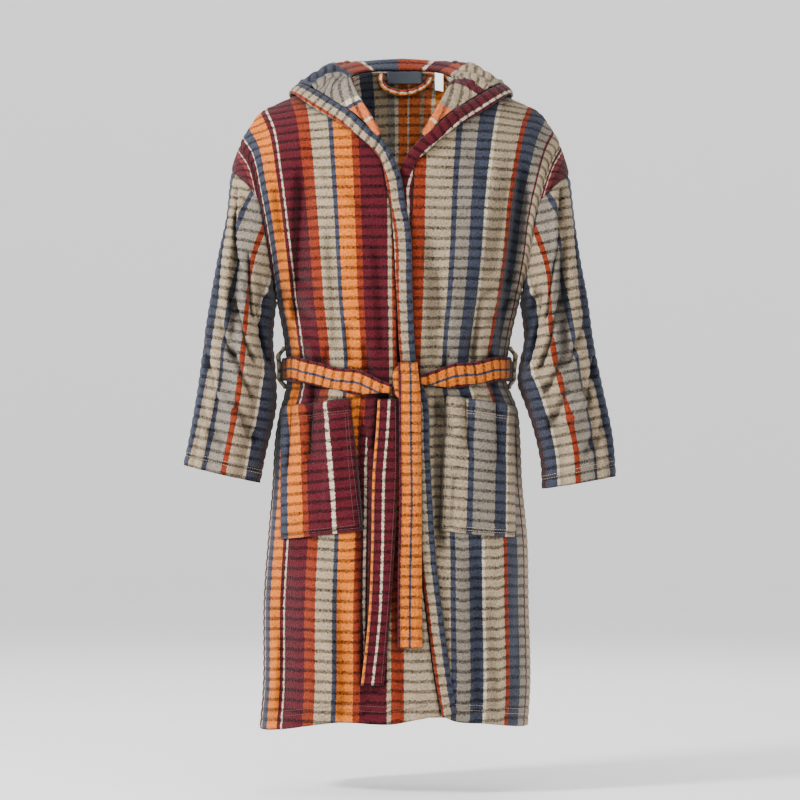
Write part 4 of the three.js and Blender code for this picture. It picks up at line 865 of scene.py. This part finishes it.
# Rows: free edge (x, z), sewn edge (x, z), stand-off of the middle
OVER_BAND = [
    (-27, -78, -41, -100, 8), (-14, -100, -31, -117, 8), (2, -138, -25, -146, 8), (8, -177, -17.7, -180, 5),
    (18, -232, -12.7, -232, 4.5), (21, -344, -6.7, -344, 4.5), (29, -460, 2, -460, 6),
    (45, -510, 20, -510, 6), (49, -593, 20.3, -593, 4.5), (55, -710, 27.3, -710, 4.5),
    (60, -780, 32.3, -780, 4.5), (71, -873, 43.3, -873, 4.5), (83, -966, 55.3, -966, 4.5),
    (93, -1032, 68.3, -1037, 4.5),
]
UNDER_BAND = [
    (25, -84, 47, -96, 5), (8, -108, 26, -116, 1), (-8, -152, 22.7, -152, -2), (-9, -202, 19.7, -202, -2),
    (-30, -344, -0.3, -344, -8), (-55, -440, -26, -440, -10), (-69, -510, -40.3, -510, -10),
    (-79, -593, -50.3, -593, -10), (-81, -700, -52, -700, -10), (-83, -820, -54, -820, -10),
    (-84, -940, -55, -940, -10), (-85, -1045, -56.3, -1045, -10),
]


def tube(name, middle, half, normal, thick, columns, material, ring=18, plump=0.7):
    """Flat strip with round edges, carried along stations. Its section is an ellipse with the sine and cosine
    raised to the power plump. Ribs run across it and thicken it, and both ends are closed."""
    angle = 2 * np.pi * np.arange(ring + 1) / ring
    flat = np.sign(np.cos(angle)) * np.abs(np.cos(angle)) ** plump
    tall = np.sign(np.sin(angle)) * np.abs(np.sin(angle)) ** plump
    run = lengths(middle)
    wide = np.linalg.norm(half, axis=1)
    u = wide[:, None] * (1 - flat[None])
    v = np.broadcast_to(run[:, None], u.shape)
    depth = thick / 2 + raised(u, v, columns, 0) * np.abs(tall)[None]
    points = middle[:, None] + half[:, None] * flat[None, :, None]
    points = points + normal[:, None] * (tall * depth)[..., None]
    rows = len(middle)
    uv = np.stack([u, v], -1) * 0.001
    face = quads(rows, ring, wrap=True)
    spread = quads(rows, ring + 1)
    caps = np.stack([np.arange(ring)[::-1], np.arange(ring) + (rows - 1) * ring])
    cap_uv = np.stack([uv[0, :ring][::-1], uv[-1, :ring]])
    uvs = [uv.reshape(-1, 2)[spread], cap_uv]
    return build(name, points[:, :ring].reshape(-1, 3), [face, caps], uvs, material)


def band_piece(side, table, name, columns):
    """Band whose free and sewn edges are splines through its rows and then through the hood's rim points. Its
    middle is the mean of the two, and it is thick square to both."""
    rows = np.array(table[::-1], float)
    free = off_front(rows[:, 0], rows[:, 1], rows[:, 4], None)
    sewn = off_front(rows[:, 2] - side * 1.4, rows[:, 3], rows[:, 4], None)
    s = np.array([0.93, 0.8, 0.68, 0.58, 0.5, 0.43, 0.36, 0.28, 0.2, 0.12, 0.06])
    up, low = [clear_of_body(hood_mark(number, s, side), 5.5) for number in (7, 8)]
    free = np.concatenate([free, up, hood_mark(7, np.zeros(1), side) + [side * 0.3, 0, 0]])
    sewn = np.concatenate([sewn, low, hood_mark(8, np.zeros(1), side) + [side * 0.3, 0, 0]])
    t = np.linspace(0, 1, 420)
    one, two = spline(free, t), spline(sewn, t)
    half = (one - two) / 2
    normal = unit(np.cross(half, np.gradient(one, axis=0)))
    cloth = terry("terry_" + name, columns, 0)
    piece = tube(name + "_cloth", (one + two) / 2, half, normal, BAND_THICK, columns, cloth)
    settle(piece, name)


band_piece(-1, OVER_BAND, "edge_band_over", OVER_BAND_COLUMNS)
band_piece(1, UNDER_BAND, "edge_band_under", UNDER_BAND_COLUMNS)

# Patch pockets: a piece of terry on each front, hemmed at its mouth and sewn flat along three sides with
# two rows of stitches. It follows the front below it.
POCKET_WIDE, POCKET_LONG, MOUTH_HEM = 185, 228, 24
# Values: x at the side, x in front at the top and at the bottom, heights at the side and in front, stand-off
POCKETS = {
    -1: (-197, -83, -63, -522, -507, -744, -728, 1.8),
    1: (190, 79, 68, -520, -502, -741, -729, 1.2),
}
POCKET_LEFT_COLUMNS = [
    (36, "burgundy"), (6, "cream"), (40, "burgundy"), (12, "rust"), (40, "orange"), (60, "slate"),
]
POCKET_RIGHT_COLUMNS = [
    (40, "beige"), (10, "slate"), (44, "stone"), (30, "slate"), (6, "cream"), (60, "beige"),
]


def pocket_point(side, across, down, off):
    """Point of a pocket at a share across, from its front edge to the side seam, and down, from its mouth
    to its bottom. x and z blend its corners, across by a sine, and it gapes a little at the mouth."""
    side_x, top_x, low_x, side_top, front_top, side_low, front_low, stand = POCKETS[side]
    bend = np.sin(np.pi / 2 * across)
    x = mix(mix(top_x, low_x, down), side_x, bend)
    z = mix(mix(front_top, front_low, down), mix(side_top, side_low, down), bend)
    room = 1.6 * np.sin(np.pi * np.clip(across, 0, 1)) * (1 - np.clip(down, 0, 1)) ** 1.5
    return off_front(x, z, stand + room + off, "over" if side < 0 else "under")


def pocket_piece(side, name, columns, thread):
    """Pocket's wall with a thicker hem at its mouth and edges that dip by a bell, and its stitches."""
    across, down = np.meshgrid(np.linspace(0, 1, 44), np.linspace(0, 1, 58))
    u, v = POCKET_WIDE * across, POCKET_LONG * down
    base = pocket_point(side, across, down, 0)
    lip = 1.2 * ease((MOUTH_HEM - v) / 3)
    rim = np.minimum.reduce([u, POCKET_WIDE - u, v, POCKET_LONG - v])
    rise = CLOTH + raised(u, v, columns, 0) + lip - 1.8 * np.exp(-((rim / 3) ** 2))
    outer = pocket_point(side, across, down, rise)
    cloth = terry("terry_" + name, columns, 0)
    piece = shell(name + "_cloth", outer, base, np.stack([u, v], -1) * 0.001, cloth)
    paths = []
    for inset in (6, 11):
        a, d = inset / POCKET_WIDE, inset / POCKET_LONG
        line = np.linspace(0, 1, 40)
        run_across = np.concatenate([np.full(40, a), mix(a, 1, line)])
        run_down = np.concatenate([mix(0.02, 1 - d, line), np.full(40, 1 - d)])
        low = pocket_point(side, run_across, run_down, CLOTH + 0.9)
        high = pocket_point(side, run_across, run_down, CLOTH + 1.9)
        paths.append((low, high - low))
    for depth in (21, 25):
        run_across, run_down = np.linspace(0.02, 0.98, 40), np.full(40, depth / POCKET_LONG)
        low = pocket_point(side, run_across, run_down, CLOTH + 1.6)
        paths.append((low, pocket_point(side, run_across, run_down, CLOTH + 2.6) - low))
    threads = stitches(name + "_stitch", paths, thread)
    settle(piece, name)


pocket_piece(-1, "pocket_left", POCKET_LEFT_COLUMNS, thread_dark)
pocket_piece(1, "pocket_right", POCKET_RIGHT_COLUMNS, thread_pale)

# Belt: one strip of terry folded double, drawn round the waist through a loop at each side and tied in front
# with two hanging tails. Here it lies round the waist, and narrows towards its knot.
BELT_HALF, BELT_THICK = 20.0, 5.4
BELT_COLUMNS = [(5, "burgundy"), (14, "orange"), (4, "slate"), (13, "orange"), (60, "burgundy")]
cloth_belt = terry("terry_belt", BELT_COLUMNS, 0)
# Rows: x, height and stand-off of the belt's middle on each front, from the knot to the side
BELT_LEFT = [(-14, -494, 12), (-60, -484, 8), (-110, -474, 6), (-150, -463, 5)]
BELT_RIGHT = [(32, -478, 12), (70, -473, 6), (110, -467, 4), (142, -461, 5)]
BELT_BACK_Z, BELT_STAND = -458, 8


def waist_round(face, angle):
    """Point of the belt's middle round the side or back: the body's, moved out along its angle."""
    angle = np.asarray(angle, float)
    skin = body_point(face, angle, np.ones_like(angle), np.full_like(angle, BELT_BACK_Z - ARMPIT_Z), None)
    return skin + np.stack([np.sin(angle), face * np.cos(angle), np.zeros_like(angle)], -1) * BELT_STAND


belt_rows = np.array(BELT_LEFT, float)
belt_rows_right = np.array(BELT_RIGHT[::-1], float)
belt_points = np.concatenate([
    off_front(belt_rows[:, 0], belt_rows[:, 1], belt_rows[:, 2] + 3, None),
    waist_round(-1, [-1.1, -1.35]), waist_round(1, np.linspace(-np.pi / 2, np.pi / 2, 19)),
    waist_round(-1, [1.35, 1.1]),
    off_front(belt_rows_right[:, 0], belt_rows_right[:, 1], belt_rows_right[:, 2] + 3, None),
])
dense = spline(belt_points, np.linspace(0, 1, 3000))
belt_run = lengths(dense)
belt_at = np.linspace(0, belt_run[-1], 320)
belt_line = sample(dense, belt_run, belt_at)
belt_along = unit(np.gradient(belt_line, axis=0))
belt_half = np.array([0, 0, BELT_HALF]) - belt_along * belt_along[:, 2:] * BELT_HALF
near_knot = mix(0.4, 1, ease(np.minimum(belt_at, belt_run[-1] - belt_at) / 62))
wave = 1 + 0.05 * np.sin(belt_at / 23) + 0.04 * np.sin(belt_at / 9.7 + 1)
belt_half = belt_half * (near_knot * wave)[:, None]
belt_normal = unit(np.cross(belt_half, belt_along))
belt_waist = tube("belt_waist_cloth", belt_line, belt_half, belt_normal, BELT_THICK, BELT_COLUMNS, cloth_belt)
settle(belt_waist, "belt_waist")

# Belt tails: the two ends of the belt, which hang from the knot over the fronts, one on top of the other,
# each stitched along both edges. Rows: height, middle, width, stand-off
TAIL_THICK = 4.6
UPPER_COLUMNS = [(4, "burgundy"), (14, "orange"), (4, "slate"), (60, "orange")]
LOWER_COLUMNS = [(4, "orange"), (13, "burgundy"), (4, "cream"), (60, "burgundy")]
TAIL_UPPER = [(-445, 12, 33, 21), (-462, 13, 33, 24), (-500, 15, 36, 23.5), (-560, 16, 37, 15.5),
              (-680, 17, 37, 13.5), (-800, 16, 40, 13.5), (-922, 16, 41, 12.5)]
TAIL_LOWER = [(-511, -20, 33, 12), (-560, -21, 37, 11), (-640, -24, 43, 9.8), (-760, -28, 39, 9.8),
              (-870, -34, 36, 9.8), (-984, -45, 38, 9.8)]


def tail_piece(table, name, columns, thread, curl):
    """Hanging tail: its middle follows the front, its face turns by a sine of the height times curl, and
    its two edges are stitched."""
    z = np.linspace(table[0][0], table[-1][0], 150)
    x, wide, off = [curve(table, column)(z) for column in (1, 2, 3)]
    middle = off_front(x, z, off, None)
    normal = off_front(x, z, off + 1, None) - middle
    normal = unit(np.stack([normal[:, 0] * 0.3 + curl * np.sin(z / 70), normal[:, 1], np.zeros_like(z)], -1))
    half = np.cross(np.array([0, 0, 1.0]), normal) * -(wide / 2)[:, None]
    cloth = terry("terry_" + name, columns, 0)
    piece = tube(name + "_cloth", middle, half, normal, TAIL_THICK, columns, cloth)
    edges = [(middle + half * share + normal * 3.2, normal) for share in (-0.76, 0.76)]
    threads = stitches(name + "_stitch", edges, thread)
    settle(piece, name)


tail_piece(TAIL_UPPER, "belt_tail_upper", UPPER_COLUMNS, thread_dark, 0.06)
tail_piece(TAIL_LOWER, "belt_tail_lower", LOWER_COLUMNS, thread_dark, -0.06)

# Knot: the belt's own cloth, tied once and pulled into a soft lump below the upper tail. Its form is a ball
# flattened in Y and blunt at its ends, whose skin is pinched into turns that run from top to bottom.
KNOT_TOP, KNOT_LOW, KNOT_X, KNOT_STAND = -450, -510, 8.0, 15
KNOT_HALF_WIDE, KNOT_HALF_DEEP, KNOT_ROUND = 20, 7.5, 100
KNOT_ROWS, KNOT_RING = 48, 64
KNOT_COLUMNS = [(22, "orange"), (4, "slate"), (12, "orange"), (12, "burgundy"), (60, "orange")]
lean = np.linspace(-0.97, 0.97, KNOT_ROWS)[:, None]
turn = 2 * np.pi * np.arange(KNOT_RING)[None] / KNOT_RING
knot_z = mix(KNOT_LOW, KNOT_TOP, (lean + 1) / 2)
knot_middle = off_front(np.full(KNOT_ROWS, KNOT_X), knot_z[:, 0], KNOT_STAND, None)
pinch = 1 + 0.09 * np.cos(5 * turn + 2.2 * lean) + 0.04 * np.cos(11 * turn)
knot_size = np.sqrt(1 - np.abs(lean) ** 3) * pinch
knot_points = np.stack([
    knot_middle[:, :1] + KNOT_HALF_WIDE * knot_size * np.cos(turn),
    knot_middle[:, 1:2] + KNOT_HALF_DEEP * knot_size * np.sin(turn),
    np.broadcast_to(knot_z, knot_size.shape)], -1)
knot_uv = np.stack(np.broadcast_arrays(KNOT_ROUND * np.arange(KNOT_RING + 1) / KNOT_RING, knot_z), -1) * 0.001
knot_caps = np.stack([np.arange(KNOT_RING)[::-1], np.arange(KNOT_RING) + (KNOT_ROWS - 1) * KNOT_RING])
knot_faces = [quads(KNOT_ROWS, KNOT_RING, wrap=True), knot_caps]
knot_uvs = [knot_uv.reshape(-1, 2)[quads(KNOT_ROWS, KNOT_RING + 1)], np.zeros((2, KNOT_RING, 2))]
knot = build("belt_knot_cloth", knot_points.reshape(-1, 3), knot_faces, knot_uvs,
             terry("terry_knot", KNOT_COLUMNS, 0))
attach(knot, "root")
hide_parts("belt_knot")

# Belt loops: a narrow strip of terry, folded lengthwise and sewn to each side seam above and below the belt,
# which runs through it.
LOOP_Z, LOOP_REACH, LOOP_STAND, LOOP_THICK = -455, 36, 14, 3.4
LOOP_COLUMNS = [(5, "slate"), (40, "beige")]


def loop_piece(side, name):
    """Belt loop: its middle follows the body's side and is eased out between its ends, round the belt."""
    along = np.linspace(-1, 1, 60)
    z = LOOP_Z + LOOP_REACH * along
    off = mix(1, LOOP_STAND, ease((1 - np.abs(along)) / 0.5))
    middle = np.stack([side * (half_width(side * np.ones(60), z) + off), np.full(60, -6.0), z], -1)
    normal = unit(np.cross(np.gradient(middle, axis=0), np.array([side * -0.46, 0.89, 0])))
    half = np.tile(np.array([[side * -3.2, 6.2, 0]]), (60, 1))
    # The loops take only a faint painted shade from ambient occlusion.
    cloth = terry("terry_" + name, LOOP_COLUMNS, 0, painted_shade_power=0.2)
    piece = tube(name + "_cloth", middle, half, normal, LOOP_THICK, LOOP_COLUMNS, cloth, ring=12)
    settle(piece, name)


loop_piece(-1, "belt_loop_left")
loop_piece(1, "belt_loop_right")

# Inside the back neck: a hanger loop, rolled from a narrow strip of cloth and sewn into the neck seam at both
# ends, and two bare tapes sewn in beside it. The loop's rows are points of its middle line.
HANGER = [
    (-31, 60.6, 50), (-32, 55, 40), (-26, 54, 27), (-8, 54, 19), (10, 53, 17), (30, 52, 22), (47, 50, 33),
    (54, 51.9, 45),
]
HANGER_HALF, HANGER_THICK = 5, 6
HANGER_COLUMNS = [(4, "rust"), (3, "cream"), (20, "orange")]
hanger_line = spline(np.array(HANGER, float), np.linspace(0, 1, 90))
hanger_along = unit(np.gradient(hanger_line, axis=0))
hanger_normal = unit(np.array([0, 1.0, 0]) - hanger_along * hanger_along[:, 1:2])
hanger_half = np.cross(hanger_along, hanger_normal) * HANGER_HALF
hanger = tube("hanger_loop_cloth", hanger_line, hanger_half, hanger_normal, HANGER_THICK, HANGER_COLUMNS,
              terry("terry_hanger", HANGER_COLUMNS, 0), ring=14)
settle(hanger, "hanger_loop")


def label_piece(left, right, long, thick, gap, name, colour):
    """Bare tape that hangs inside the back neck from its seam. Its sides turn forward by the square of the
    distance from its middle, and more towards its free edge."""
    across, down = np.meshgrid(np.linspace(0, 1, 16), np.linspace(0, 1, 12))
    x = mix(left, right, across)
    seam_z, seam_y, _ = top_line(x / SHOULDER_X, 1)
    curl = 0.6 * (2 * across - 1) ** 2 * down
    back_face = np.stack([x, seam_y - CLOTH - gap, seam_z - 1 - down * long], -1)
    front_face = back_face - np.stack([0 * x, thick + curl, 0 * x], -1)
    uv = np.stack([across * 0.06, down * 0.02], -1)
    piece = shell(name + "_tape", front_face, back_face, uv, plain("tape_" + name, colour, 0.85))
    settle(piece, name)


label_piece(-22, 38, 21, 1, 0.6, "neck_label", (0.022, 0.026, 0.034))
label_piece(60, 74, 30, 0.8, 1.1, "care_label", (0.86, 0.86, 0.84))
